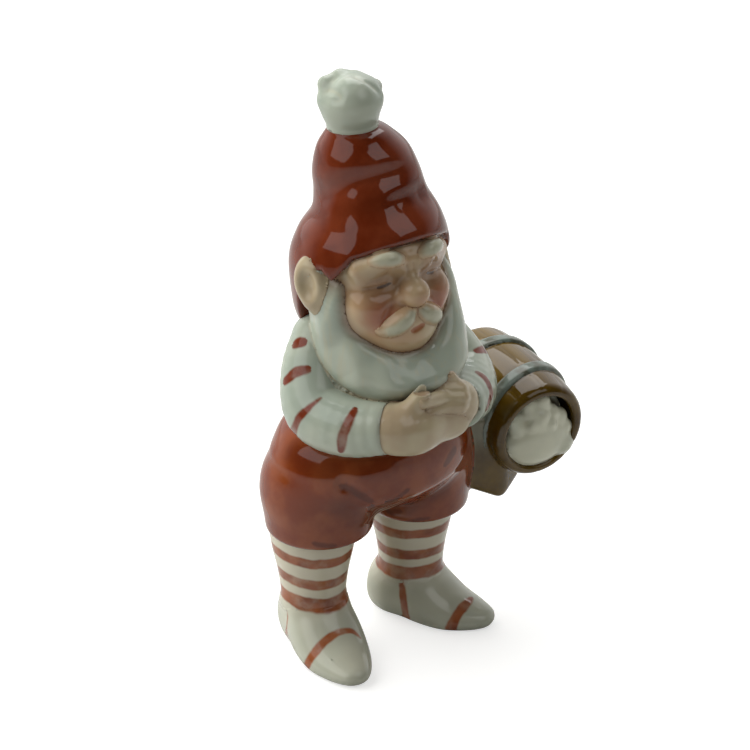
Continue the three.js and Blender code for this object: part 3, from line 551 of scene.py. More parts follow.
BRIM_FRONT = (0.0, -17.2, HEAD_Z + 12.6)
BRIM_SLOPE = math.radians(31.0)
BRIM_RISE = (0.0, math.sin(BRIM_SLOPE), math.cos(BRIM_SLOPE))


def face_opening():
    def field(p):
        u = np.abs(p[:, 0]) / FACE_HALF_WIDTH
        v = np.abs(p[:, 2] - HEAD_Z - FACE_RISE) / FACE_HALF_HEIGHT
        reach = (u ** FACE_SQUARENESS + v ** FACE_SQUARENESS) ** (1 / FACE_SQUARENESS)
        return np.maximum((reach - 1.0) * FACE_HALF_WIDTH, p[:, 1])
    return field


def beard():
    lock = tube(LOCK_ROWS)
    mass = joined(2.5, carved(6.5, stack(BEARD_ROWS, 3.5), face_opening()), lock, mirrored(lock))
    front = half(BEARD_BACK, (0, 1, 0))
    return kept(1.0, furrowed(mass, BEARD_PLANES), half(BRIM_FRONT, BRIM_RISE), front)


# Hat: a soft cap with rolled folds, open over the face and cut away round the ears.
HAT_ROWS = [
    (84.0, 0.0, 2.4, 15.0, 15.0),
    (90.0, 0.0, 0.5, 17.3, 17.6),
    (100.4, 0.0, -0.5, 18.7, 18.4),
    (106.9, 0.3, -1.5, 17.4, 17.8),
    (112.6, 0.8, -2.2, 14.6, 15.5),
    (117.3, 0.3, -0.6, 13.1, 13.4),
    (122.7, -0.4, 0.2, 12.3, 12.3),
    (127.7, -1.0, 0.6, 10.6, 10.6),
    (131.3, -1.8, 1.0, 7.8, 7.8),
    (133.5, -2.6, 1.6, 5.9, 5.9),
]
HAT_SIDE_EDGE = (0.0, 1.0, HEAD_Z)
HAT_SIDE_SLANT = (0.0, 1.0, 0.25)
SIDEBURN_ROWS = [
    (-15.4, -8.2, HEAD_Z + 11.4, 5.2),
    (-15.8, -8.4, HEAD_Z + 7.8, 3.0),
    (-15.9, -8.8, HEAD_Z + 4.4, 0.5),
]
HAT_FOLDS = [
    ([(312, 197), (326, 192), (340, 188), (354, 184), (368, 181), (384, 177), (400, 172), (416, 166)],
     2.6, 1.5),
    ([(384, 208), (396, 203), (410, 198), (427, 191)], 2.2, 1.0),
]


def hat():
    body = furrowed(stack(HAT_ROWS, 2.5), HAT_FOLDS)
    face_room = kept(1.0, half(BRIM_FRONT, BRIM_RISE), half(HAT_SIDE_EDGE, HAT_SIDE_SLANT))
    point = tube(SIDEBURN_ROWS)
    return carved(1.0, body, carved(0.8, face_room, point, mirrored(point)))


# Pompom: a cup of soft lobes, which lie right, up and near of its middle in the picture, with their radius.
POMPOM_MIDDLE = np.array([-3.4, 2.2, 139.0])
POMPOM_ROWS = [
    (131.6, -2.9, 1.9, 5.6, 5.6),
    (133.6, -3.0, 2.0, 6.0, 6.0),
    (136.4, -3.3, 2.1, 6.8, 6.8),
    (139.2, -3.4, 2.2, 7.0, 7.0),
    (141.0, -3.4, 2.2, 5.4, 5.4),
]
POMPOM_LOBES = [
    (-5.1, 3.4, 0.0, 2.2),
    (-2.0, 4.5, -1.0, 2.6),
    (1.2, 4.2, -0.6, 2.5),
    (3.8, 2.6, -0.4, 2.9),
    (4.6, 0.4, 0.6, 2.9),
    (-4.6, 0.2, 0.8, 2.5),
    (5.4, 3.2, -4.0, 2.0),
    (0.8, -0.4, 1.8, 5.8),
]
POMPOM_CREASES = [
    ([(323, 74), (331, 79), (339, 81)], 1.0, 0.5),
    ([(319, 93), (327, 90), (335, 92), (339, 98), (331, 102)], 1.0, 0.5),
    ([(350, 74), (362, 79), (373, 86), (382, 95)], 1.0, 0.5),
]


def pompom():
    cup = stack(POMPOM_ROWS, 2.0)
    lobes = []
    for right, up, near, radius in POMPOM_LOBES:
        spot = POMPOM_MIDDLE + right * VIEW_RIGHT + up * VIEW_UP + near * VIEW_BACK
        lobes.append(egg(spot, (radius, radius, radius)))
    return furrowed(joined(1.6, cup, *lobes), POMPOM_CREASES)


# Barrel on its bracket beside the hip. A hoop has its place along the barrel and how far it slants.
BARREL_NUDGE = (-2.0, 0.0, 0.8)
BARREL_CENTRE = numbers(cad_middle("barrel_staves") - ORIGIN + BARREL_NUDGE)
BARREL_SPLAY = 5.0
BARREL_TIP = 4.5
BARREL_LENGTH = 34.0
BARREL_BELLY = 13.3
BARREL_END = 12.0
BARREL_WALL = 2.8
STAVES = 12
FRONT_HOOP = (8.0, 0.2)
REAR_HOOP = (-7.0, 0.0)
HOOP_HALF = 1.7
HOOP_PROUD = 0.8
HOOP_SUNK = 1.2
STAVE_GROOVE = 0.05
BOARD_WIDTH = 4.5
BOARD_GROOVE = 0.2
REAR_HEAD_INSET = 2.5
REAR_HEAD_HALF = 1.0


def barrel_local(p):
    """Points in the barrel's frame: x outward, y up, z along it towards the mouth."""
    spin = math.radians(BARREL_SPLAY)
    tip = math.radians(BARREL_TIP)
    mouth = np.array([-math.sin(spin) * math.cos(tip), -math.cos(spin) * math.cos(tip), -math.sin(tip)])
    out = np.array([math.cos(spin), -math.sin(spin), 0.0])
    up = np.cross(mouth, out)
    return (p - BARREL_CENTRE) @ numbers(np.stack([out, up, mouth], axis=1))


def barrel_radius(w):
    return BARREL_BELLY - (BARREL_BELLY - BARREL_END) * (2.0 * w / BARREL_LENGTH) ** 2


def in_barrel(p):
    """Points in the barrel's frame, their distance from its axis, and its radius there."""
    q = barrel_local(p)
    return q, np.hypot(q[:, 0], q[:, 1]), barrel_radius(q[:, 2])


def stave_place(q):
    """Distance round the barrel from the nearest joint between two staves, in millimetres."""
    angle = np.arctan2(q[:, 1], q[:, 0]) * STAVES / (2 * math.pi)
    return np.abs(angle - np.round(angle)) * 2 * math.pi * BARREL_BELLY / STAVES


def staves():
    def field(p):
        q, r, radius = in_barrel(p)
        joint = STAVE_GROOVE * np.exp(-(stave_place(q) / 0.6) ** 2)
        body = smooth_max(r - radius + joint, np.abs(q[:, 2]) - BARREL_LENGTH / 2, 2.4)
        return smooth_max(body, radius - BARREL_WALL - r, 2.0)
    return field


def hoop(offset, slant):
    """A band round the barrel, so far from its middle and slanting towards the mouth on the body's side."""
    def field(p):
        q, r, radius = in_barrel(p)
        place = q[:, 2] - offset + slant * q[:, 0]
        band = smooth_max(np.abs(place) - HOOP_HALF, r - radius - HOOP_PROUD, 0.9)
        return np.maximum(band, radius - HOOP_SUNK - r)
    return field


def rear_head():
    def field(p):
        q, r, _ = in_barrel(p)
        board = q[:, 0] / BOARD_WIDTH
        groove = BOARD_GROOVE * np.exp(-((board - np.round(board)) * BOARD_WIDTH / 0.4) ** 2)
        thick = np.abs(q[:, 2] + BARREL_LENGTH / 2 - REAR_HEAD_INSET) - REAR_HEAD_HALF + groove
        return smooth_max(r - BARREL_END + BARREL_WALL + 0.3, thick, 0.3)
    return field


# The foam: lumps in the barrel's frame, each a place and a radius, on a mound over a plug in the mouth.
FOAM_LUMPS = [
    (-5.8, 1.6, 14.2, 2.4), (-4.2, 3.6, 13.6, 1.9), (-1.8, 4.6, 14.4, 2.5), (1.4, 5.2, 14.0, 2.3),
    (-0.4, 2.6, 15.4, 2.6), (3.4, 3.4, 14.4, 2.5), (6.0, 1.8, 14.2, 2.4), (7.4, -1.2, 14.6, 2.2),
    (-2.6, 7.0, 14.0, 1.9), (0.4, 4.4, 16.4, 1.3), (2.4, 1.8, 16.8, 1.4), (-2.8, 2.4, 16.6, 1.3),
    (1.0, 7.4, 14.4, 2.0), (-6.8, 3.6, 14.0, 1.8), (6.8, -5.4, 15.0, 3.0), (-6.4, -3.0, 13.8, 3.0),
]
FOAM_PLUG = 8.5
FOAM_PLUG_HALF = 3.0
FOAM_MOUND = ((0.2, -3.2, 14.2), (8.8, 6.8, 4.6))


def filling():
    lumps = [egg(place, (radius,) * 3) for *place, radius in FOAM_LUMPS]
    mass = joined(1.1, egg(*FOAM_MOUND), *lumps)

    def field(p):
        q, r, _ = in_barrel(p)
        ends = np.abs(q[:, 2] - FOAM_PLUG) - FOAM_PLUG_HALF
        plug = smooth_max(r - BARREL_END + BARREL_WALL + 0.2, ends, 0.5)
        return smooth_min(plug, mass(q), 1.2)
    return field


# The bracket's faces: a point of each and which way it looks.
BRACKET_KEEL = (32.0, -11.6, 31.0)
BRACKET_FACES = [
    (BRACKET_KEEL, (-0.46, -0.05, -0.89)),
    (BRACKET_KEEL, (0.40, -0.10, -0.91)),
    (BRACKET_KEEL, (-0.35, -0.93, 0.0)),
    (BRACKET_KEEL, (0.45, -0.89, 0.0)),
    ((39.5, -4.0, 42.0), (1.0, 0.0, 0.1)),
    ((32.0, 3.0, 40.0), (0.0, 1.0, 0.0)),
    ((34.0, -4.0, 54.0), (0.0, 0.0, 1.0)),
    ((21.0, -4.0, 40.0), (-1.0, 0.0, 0.0)),
]


def bracket():
    faces = [half(point, normal) for point, normal in BRACKET_FACES]
    return kept(1.6, *faces)


# The pieces, and how softly the glaze runs between two that touch, the upper one first.
SIDES = ("right", "left")
RIGHT_HAND, LEFT_HAND = hands()
SHAPES = {
    "trousers": trousers(),
    "torso": stack(TORSO_ROWS, 1.5),
    "right_hand": RIGHT_HAND,
    "left_hand": LEFT_HAND,
    "head": head(),
    "beard": beard(),
    "hat": hat(),
    "pompom": pompom(),
    "barrel_staves": staves(),
    "barrel_front_hoop": hoop(*FRONT_HOOP),
    "barrel_rear_hoop": hoop(*REAR_HOOP),
    "barrel_rear_head": rear_head(),
    "barrel_filling": filling(),
    "barrel_bracket": bracket(),
    "right_ear": right_ear(),
    "left_ear": mirrored(right_ear()),
}
for _side in SIDES:
    SHAPES[_side + "_shoe"] = shoe(_side)
    SHAPES[_side + "_stocking"] = stocking(_side)
    SHAPES[_side + "_sleeve"] = sleeve(_side)
    SHAPES[_side + "_brow"] = tube(tuft(BROW_ROWS, _side))
    SHAPES[_side + "_moustache"] = tube(tuft(MOUSTACHE_ROWS, _side))

JOINTS = [
    ("trousers", "torso", 1.0),
    ("left_hand", "right_hand", 1.0),
    ("beard", "head", 1.8),
    ("hat", "head", 0.5),
    ("torso", "head", 1.0),
    ("hat", "beard", 0.5),
    ("beard", "torso", 1.0),
    ("hat", "torso", 0.8),
    ("pompom", "hat", 1.0),
    ("right_moustache", "left_moustache", 0.5),
    ("trousers", "barrel_bracket", 1.0),
    ("barrel_staves", "trousers", 0.6),
    ("barrel_staves", "barrel_bracket", 1.0),
    ("barrel_front_hoop", "barrel_bracket", 0.4),
    ("barrel_rear_hoop", "barrel_bracket", 0.4),
    ("barrel_front_hoop", "barrel_staves", 0.5),
    ("barrel_rear_hoop", "barrel_staves", 0.5),
    ("barrel_staves", "barrel_rear_head", 0.3),
    ("barrel_filling", "barrel_staves", 0.5),
]
for _side in SIDES:
    JOINTS += [
        (_side + "_shoe", _side + "_stocking", 2.2),
        ("trousers", _side + "_stocking", 0.7),
        (_side + "_sleeve", "torso", 2.5),
        (_side + "_sleeve", "trousers", 1.0),
        ("beard", _side + "_sleeve", 0.7),
        (_side + "_sleeve", _side + "_hand", 0.7),
        (_side + "_hand", "torso", 0.6),
        (_side + "_hand", "beard", 0.7),
        (_side + "_hand", "trousers", 0.6),
        (_side + "_ear", "head", 1.8),
        (_side + "_ear", "hat", 0.8),
        (_side + "_ear", "beard", 1.8),
        (_side + "_brow", "head", 1.5),
        ("hat", _side + "_brow", 0.4),
        (_side + "_moustache", "head", 1.0),
        (_side + "_moustache", "beard", 1.0),
    ]
JOINTS.append(("right_sleeve", "left_hand", 0.5))
JOINTS.append(("left_sleeve", "right_hand", 0.5))

# Seams: how far the lower piece runs on under the upper and how deep it dips there, how steeply a piece's
# hidden sides draw in, how far off a neighbour is felt, and the room round a node's box to sculpt in.
LAP = 0.5
DIP = 0.1
UNDERCUT = 0.8
REACH = 4.0
ROOM = 3.5


def piece_room(name):
    """The box a piece is sculpted in, in the figure's frame."""
    low, high = cad_box(name)
    return low - ORIGIN - ROOM, high - ORIGIN + ROOM


def near_shape(name, p):
    """A neighbour's field, worked out only round where it is."""
    low, high = piece_room(name)
    close = np.all((p > low - REACH) & (p < high + REACH), axis=1)
    d = np.full(len(p), 2 * REACH, np.float32)
    if close.any():
        d[close] = SHAPES[name](p[close])
    return d


def neighbours(name):
    """The pieces that touch one: each a name, how softly the glaze runs to it and whether it is under."""
    for upper, lower, blend in JOINTS:
        if name == upper:
            yield lower, blend, True
        elif name == lower:
            yield upper, blend, False


def piece_fields(name):
    """A piece's two fields: it run together with its neighbours, and its share of that. The upper of
    two pieces ends halfway between them, and the lower dips there and runs on a little under it."""
    own = SHAPES[name]
    beside = list(neighbours(name))

    def fields(p):
        d = own(p)
        run = d
        share = np.full(len(p), -1e3, np.float32)
        dip = np.zeros(len(p), np.float32)
        for other, blend, is_under in beside:
            e = near_shape(other, p)
            run = smooth_min(run, e, blend)
            gap = (d - e) / 2
            if is_under:
                np.maximum(share, gap, out=share)
            else:
                np.maximum(share, gap - LAP, out=share)
                np.maximum(dip, DIP * np.clip(1.0 + gap / LAP, 0.0, 1.0), out=dip)
        share += UNDERCUT * np.clip(run, -1.0, 0.0)
        return np.stack([run + dip, share], axis=1)
    return fields


# Meshing: a fine grid near the surface, one vertex in every cell it crosses, drawn onto the field.
BLOCK = 4
NEAR_BLOCK = 1.25
CORNERS = np.array([(i, j, k) for i in (0, 1) for j in (0, 1) for k in (0, 1)])
EDGES = [(a, b) for a in range(8) for b in range(a + 1, 8) if abs(CORNERS[a] - CORNERS[b]).sum() == 1]
CHUNK = 24000
WORKERS = ThreadPoolExecutor(4)


def in_chunks(field, p):
    """A field over many points, a few thousand at a time."""
    p = np.asarray(p, np.float32)
    parts = WORKERS.map(field, [p[i:i + CHUNK] for i in range(0, len(p), CHUNK)])
    return np.concatenate(list(parts))


def spread(blocks):
    """A value for every block given to all of its cells."""
    return blocks.repeat(BLOCK, 0).repeat(BLOCK, 1).repeat(BLOCK, 2)


def sampled(field, low, high, step):
    """Field values on a grid, exact near the surface and rough elsewhere."""
    blocks = np.ceil((high - low) / (step * BLOCK)).astype(int)
    middles = np.stack(np.meshgrid(*[np.arange(n) + 0.5 for n in blocks], indexing="ij"), axis=-1)
    rough = in_chunks(field, low + middles.reshape(-1, 3) * step * BLOCK).reshape(blocks)
    active = np.abs(rough) < NEAR_BLOCK * step * BLOCK
    values = np.pad(spread(rough), (0, 1), mode="edge")
    size = np.array(values.shape)
    where = np.zeros(size, bool)
    fine = spread(active)
    for i, j, k in CORNERS:
        where[i:i + size[0] - 1, j:j + size[1] - 1, k:k + size[2] - 1] |= fine
    values[where] = in_chunks(field, low + np.argwhere(where) * step)
    for axis in range(3):
        edge = np.moveaxis(values, axis, 0)
        edge[0] = np.maximum(edge[0], step)
        edge[-1] = np.maximum(edge[-1], step)
    return values


def crossing_cells(values):
    """Cells the surface passes through, with the mean of where it cuts their edges."""
    inside = values < 0
    shape = np.array(values.shape) - 1
    count = np.zeros(shape, np.uint8)
    for i, j, k in CORNERS:
        count += inside[i:i + shape[0], j:j + shape[1], k:k + shape[2]]
    cells = np.argwhere((count > 0) & (count < 8))
    at = [values[tuple((cells + c).T)] for c in CORNERS]
    total = np.zeros((len(cells), 3))
    cuts = np.zeros(len(cells))
    for a, b in EDGES:
        cut = (at[a] < 0) != (at[b] < 0)
        share = at[a][cut] / (at[a][cut] - at[b][cut])
        total[cut] += CORNERS[a] + share[:, None] * (CORNERS[b] - CORNERS[a])
        cuts[cut] += 1
    return cells, cells + total / cuts[:, None]


def quads_of(values, cells):
    """Four cells round every grid edge that the surface cuts, wound outward."""
    index = np.full(np.array(values.shape) - 1, -1, np.int64)
    index[tuple(cells.T)] = np.arange(len(cells))
    inside = values < 0
    quads = []
    for axis in range(3):
        right = (axis + 1) % 3
        up = (axis + 2) % 3
        first = np.moveaxis(inside, axis, 0)[:-1]
        second = np.moveaxis(inside, axis, 0)[1:]
        cut = np.moveaxis(first != second, 0, axis)
        places = np.argwhere(cut)
        good = (places[:, right] > 0) & (places[:, up] > 0)
        places = places[good]
        corners = []
        for r, u in ((1, 1), (0, 1), (0, 0), (1, 0)):
            cell = places.copy()
            cell[:, right] -= r
            cell[:, up] -= u
            corners.append(index[tuple(cell.T)])
        faces = np.stack(corners, axis=1)
        outward = inside[tuple(places.T)]
        faces[~outward] = faces[~outward][:, ::-1]
        quads.append(faces)
    return np.concatenate(quads)


def slopes_of(fields, p, reach=0.1):
    """How each of some fields changes with place."""
    total = 0.0
    for way in TETRA:
        total = total + way[None, :, None] * in_chunks(fields, p + way * reach)[:, None, :]
    return total * 3.0 / (4 * reach)


def drawn_on(fields, p, step):
    """Vertices moved straight onto the surface, or near a seam onto the edge of the piece's share."""
    at = in_chunks(fields, p)
    close = np.flatnonzero(np.abs(at[:, 0]) < step)
    at = at[close]
    slopes = slopes_of(fields, p[close])
    run = slopes[:, :, 0]
    share = slopes[:, :, 1]
    a = (run * run).sum(axis=1)
    b = (run * share).sum(axis=1)
    c = (share * share).sum(axis=1)
    cross = np.maximum(a * c - b * b, 0.02)
    first = (c * at[:, 0] - b * at[:, 1]) / cross
    second = (a * at[:, 1] - b * at[:, 0]) / cross
    to_seam = first[:, None] * run + second[:, None] * share
    to_surface = (at[:, 0] / np.maximum(a, 0.05))[:, None] * run
    at_seam = np.linalg.norm(to_seam, axis=1) < 0.8 * step
    free = ~at_seam & (at[:, 1] < 0)
    out = p.copy()
    out[close[at_seam]] -= to_seam[at_seam]
    out[close[free]] -= np.clip(to_surface[free], -0.5 * step, 0.5 * step)
    return out


def surface(fields, low, high, step):
    def field(p):
        return fields(p).max(axis=1)

    values = sampled(field, low, high, step)
    cells, spots = crossing_cells(values)
    p = low + spots * step
    for _ in range(2):
        p = drawn_on(fields, p, step)
    return p, quads_of(values, cells)


# How fine each piece's grid is, in millimetres.
TINY = 0.24
FINE = 0.33
CLOSE = 0.38
MIDDLE = 0.46
PLAIN = 0.7
STEP = {
    "head": FINE, "right_ear": FINE, "left_ear": FINE, "right_hand": FINE, "left_hand": FINE,
    "right_brow": TINY, "left_brow": TINY, "right_moustache": TINY, "left_moustache": TINY,
    "pompom": FINE, "barrel_filling": FINE, "barrel_front_hoop": FINE, "barrel_rear_hoop": FINE,
    "barrel_staves": FINE, "barrel_rear_head": PLAIN, "beard": CLOSE,
}


def step_of(name):
    step = STEP.get(name, MIDDLE)
    return step


# Paint: what the materials read at every vertex, in millimetres.

def hollow_of(field, p):
    """How hollow the surface is: positive in creases and negative on ridges."""
    reach = 0.9
    total = sum(in_chunks(field, p + way * reach) for way in TETRA)
    return -2.0 * total / (4 * reach ** 2)


def contact_of(name, p):
    """Distance to the nearest neighbouring piece."""
    d = np.full(len(p), REACH)
    for other, _, _ in neighbours(name):
        np.minimum(d, near_shape(other, p), out=d)
    return d


def stroke(p, path, half_width):
    """Distance outside a brush stroke that thins towards its ends."""
    gap, place = along(path, p)
    return gap - half_width * np.clip(np.sin(np.pi * place), 0.0, 1.0) ** 0.25


def rings(height, *bands):
    """Distance outside the nearest of some bands: each a place and a half width."""
    return np.min([np.abs(height - place) - half_width for place, half_width in bands], axis=0)


# Rings round the legs and the shirt's back are a height and a half width; strokes are lines of the picture.
LEG_RINGS = {
    "right": ((26.4, 1.45), (19.9, 1.5), (14.0, 1.9)),
    "left": ((25.6, 1.45), (19.2, 1.5), (13.8, 1.9)),
}
RING_TILT = 0.08
RING_WAVE = 0.4
TORSO_RINGS = ((64.0, 1.1), (72.5, 1.1), (81.0, 1.1))
TORSO_TILT = 0.05
SHOE_STROKES = {
    "right": [([(304, 672), (313, 655), (331, 636), (350, 631), (362, 639)], 1.3),
              ([(290, 604), (287, 624), (286, 645)], 0.8)],
    "left": [([(472, 597), (458, 614), (448, 636)], 1.6),
             ([(403, 570), (403, 596), (408, 626)], 1.3)],
}
SIDE_STROKE = 3.0
ANKLE_RING_BACK = 12.0
SLEEVE_STROKES = {
    "right": [
        [(292, 346), (299, 343), (307, 341)],
        [(283, 383), (295, 373), (311, 368)],
        [(293, 435), (298, 420), (309, 408), (322, 397)],
        [(340, 453), (343, 436), (349, 421), (356, 407)],
    ],
    "left": [
        [(474, 352), (480, 350), (487, 349)],
        [(475, 371), (485, 378), (491, 391), (489, 403), (485, 412)],
    ],
}
SLEEVE_STROKE = 1.3
SLEEVE_BACK = -3.0


def ring_height(side, p):
    """Height up a leg, tilted and waved as the painted rings are."""
    across = p[:, 0] - SIGN[side] * LEG_OUT
    angle = np.arctan2(p[:, 1] - LEGS_BACK, across)
    return p[:, 2] + RING_TILT * across + RING_WAVE * np.sin(2.0 * angle + SIGN[side])


def paint_stocking(side, p):
    return {"stripe": rings(ring_height(side, p), *LEG_RINGS[side])}


def paint_shoe(side, p):
    """The strokes in view, those on the outer side repeated on the inner, and the ankle's ring."""
    local = shoe_local(side, p)
    strokes = []
    for line, width in SHOE_STROKES[side]:
        path = shoe_local(side, numbers(seen(SHAPES[side + "_shoe"], line)))
        strokes.append(stroke(local, path, width))
        if abs(path[:, 0]).min() > SIDE_STROKE:
            strokes.append(stroke(local, path * FLIP, width))
    ankle = rings(ring_height(side, p), LEG_RINGS[side][-1])
    strokes.append(np.where(p[:, 1] < LEGS_BACK + ANKLE_RING_BACK, ankle, REACH))
    return {"stripe": np.min(strokes, axis=0)}


def paint_sleeve(side, p):
    """Brush strokes on the side in view, carried on as rings round the back."""
    path = spline(SLEEVE_ROWS[side])
    steps = np.linalg.norm(np.diff(path[:, :3], axis=0), axis=1)
    reached = np.concatenate([[0.0], np.cumsum(steps)]) / steps.sum()
    _, place = along(path, p)
    middle = np.stack([np.interp(place, reached, path[:, axis]) for axis in range(3)], axis=1)
    lines = [seen(SHAPES[side + "_sleeve"], line) for line in SLEEVE_STROKES[side]]
    marks = [along(path, numbers(line))[1].mean() * steps.sum() for line in lines]
    in_view = np.min([stroke(p, line, SLEEVE_STROKE) for line in lines], axis=0)
    behind = rings(place * steps.sum(), *[(mark, SLEEVE_STROKE) for mark in marks])
    return {"stripe": np.where((p - middle) @ VIEW_BACK > SLEEVE_BACK, in_view, behind)}


def paint_torso(p):
    around = rings(p[:, 2] + TORSO_TILT * p[:, 0], *TORSO_RINGS)
    return {"stripe": np.where(p[:, 1] > 0, around, REACH)}


# Blush on the right cheek and on the nose: a place from the middle of the head and a radius.
CHEEK_BLUSH = ((-7.6, -16.4, -3.6), 4.4)
NOSE_BLUSH = ((0.0, -21.6, 0.2), 1.2)
EYE_STROKE = 0.36
MOUTH_STROKE = 0.7


def paint_head(p):
    right = np.column_stack([-np.abs(p[:, 0]), p[:, 1:]])
    blush = [np.linalg.norm(right - HEAD_MIDDLE - place, axis=1) - radius
             for place, radius in (CHEEK_BLUSH, NOSE_BLUSH)]
    return {
        "eye": stroke(right, seen(SHAPES["head"], EYE_DARK), EYE_STROKE),
        "mouth": stroke(p, seen(SHAPES["head"], MOUTH), MOUTH_STROKE),
        "blush": np.min(blush, axis=0),
        "beard_gap": near_shape("beard", p),
    }


# Brush accents on the trousers, each a line and a half width, of which those in the crotch and under the
# belly fold are painted shade; and lines that the colour deepens towards, as painted shadow.
ACCENTS_AND_FOLD_SHADE = [
    ([(339, 485), (350, 489), (362, 496), (373, 502)], 0.9),
    ([(384, 502), (396, 499), (409, 489)], 0.9),
    ([(375, 508), (388, 512), (402, 511)], 1.2),
    ([(456, 447), (450, 458), (444, 466)], 1.1),
    ([(312, 543), (324, 546), (337, 546)], 0.7),
    ([(384, 519), (406, 522), (430, 518)], 0.7),
    ([(372, 504), (372, 516), (371, 530)], 0.8),
]
SHADOWS = [
    [(294, 452), (306, 460), (326, 470)],
    [(384, 508), (410, 506), (440, 492)],
    [(340, 508), (352, 512), (362, 522)],
]


def paint_trousers(p):
    plain = SHAPES["trousers"]
    strokes = [stroke(p, seen(plain, line), width) for line, width in ACCENTS_AND_FOLD_SHADE]
    shadows = [along(seen(plain, line), p)[0] for line in SHADOWS]
    return {"accent": np.min(strokes, axis=0), "shadow": np.min(shadows, axis=0)}


def paint_tuft(rows, way, p):
    """How far a vertex lies to one side of a tuft's middle line: the side left in flesh colour."""
    path = numbers(spline(rows)[:, :3])
    nearest = np.argmin(np.linalg.norm(p[:, None, :] - path[None], axis=2), axis=1)
    return {"flesh": (p - path[nearest]) @ np.array(way)}


def paint_barrel(p):
    q = barrel_local(p)
    return {"stave": stave_place(q), "mouth_gap": BARREL_LENGTH / 2 - q[:, 2]}


STRAP_Z = 46.5
BROW_FLESH = (0, 0.5, -0.85)
MOUSTACHE_FLESH = (0, 0.3, 0.95)
PAINT = {
    "beard": lambda p: {"face_gap": near_shape("head", p)},
    "torso": paint_torso,
    "head": paint_head,
    "trousers": paint_trousers,
    "barrel_staves": paint_barrel,
    "barrel_bracket": lambda p: {"strap": STRAP_Z - p[:, 2]},
}
for _side in SIDES:
    PAINT[_side + "_stocking"] = partial(paint_stocking, _side)
    PAINT[_side + "_shoe"] = partial(paint_shoe, _side)
    PAINT[_side + "_sleeve"] = partial(paint_sleeve, _side)
    PAINT[_side + "_brow"] = partial(paint_tuft, tuft(BROW_ROWS, _side), BROW_FLESH)
    PAINT[_side + "_moustache"] = partial(paint_tuft, tuft(MOUSTACHE_ROWS, _side), MOUSTACHE_FLESH)


def placed(name, data):
    """A new object in the scene."""
    item = bpy.data.objects.new(name, data)
    bpy.context.scene.collection.objects.link(item)
    return item


def make_mesh(name, p, quads):
    mesh = bpy.data.meshes.new(name)
    mesh.vertices.add(len(p))
    mesh.vertices.foreach_set("co", ((p + ORIGIN) * MM).ravel())
    mesh.loops.add(quads.size)
    mesh.loops.foreach_set("vertex_index", quads.ravel().astype(np.int32))
    mesh.polygons.add(len(quads))
    mesh.polygons.foreach_set("loop_start", np.arange(0, quads.size, 4, dtype=np.int32))
    mesh.update(calc_edges=True)
    mesh.polygons.foreach_set("use_smooth", np.ones(len(quads), bool))
    mesh.update()
    return mesh


def add_piece(name, material):
    fields = piece_fields(name)
    low, high = piece_room(name)
    p, quads = surface(fields, low, high, step_of(name))
    mesh = make_mesh(name + "_glazed", p, quads)
    attributes = {"hollow": hollow_of(lambda x: fields(x)[:, 0], p), "contact": contact_of(name, p)}
    if name in PAINT:
        attributes.update(PAINT[name](p))
    for key, values in attributes.items():
        layer = mesh.attributes.new(key, "FLOAT", "POINT")
        layer.data.foreach_set("value", numbers(values))
    mesh.materials.append(material)
    piece = placed(name + "_glazed", mesh)
    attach(piece, "root")
    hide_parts(name)


# Materials: hand-painted colour under one clear glaze, with painted shade in the creases and at the seams
# and painted highlights on ridges.

def colour(red, green, blue):
    """A picture colour as the renderer's linear one."""
    parts = [c / 255.0 for c in (red, green, blue)]
    linear = [c / 12.92 if c < 0.04045 else ((c + 0.055) / 1.055) ** 2.4 for c in parts]
    return (*linear, 1.0)


class Wiring:
    """Adds and links the nodes of a material or a world."""

    def __init__(self, owner):
        owner.use_nodes = True
        self.owner = owner
        self.tree = owner.node_tree

    def add(self, kind):
        return self.tree.nodes.new("ShaderNode" + kind)

    def plug(self, socket, value):
        if isinstance(value, bpy.types.NodeSocket):
            self.tree.links.new(value, socket)
        else:
            socket.default_value = value

    def math(self, kind, a, b):
        node = self.add("Math")
        node.operation = kind
        self.plug(node.inputs[0], a)
        self.plug(node.inputs[1], b)
        return node.outputs[0]

    def ramp(self, value, start, end, low=0.0, high=1.0, kind="SMOOTHSTEP"):
        """Runs from low to high as a value runs from start to end."""
        node = self.add("MapRange")
        node.interpolation_type = kind
        self.plug(node.inputs["Value"], value)
        for socket, number in zip(("From Min", "From Max", "To Min", "To Max"), (start, end, low, high)):
            node.inputs[socket].default_value = number
        return node.outputs["Result"]

    def mix(self, factor, below, above, kind="RGBA"):
        node = self.add("Mix")
        node.data_type = kind
        self.plug(node.inputs["Factor"], factor)
        self.plug(node.inputs["A"], below)
        self.plug(node.inputs["B"], above)
        return node.outputs["Result"]


GLAZE_ROUGHNESS = 0.06
GLAZE_IOR = 1.52
GLAZE_WAVE = 0.1
GLAZE_WAVE_STRENGTH = 0.3
GLAZE_WAVES_PER_MM = 0.16
SOFT_RADIUS = (1.0, 0.85, 0.7)
SOFT_DEPTH = 1.0


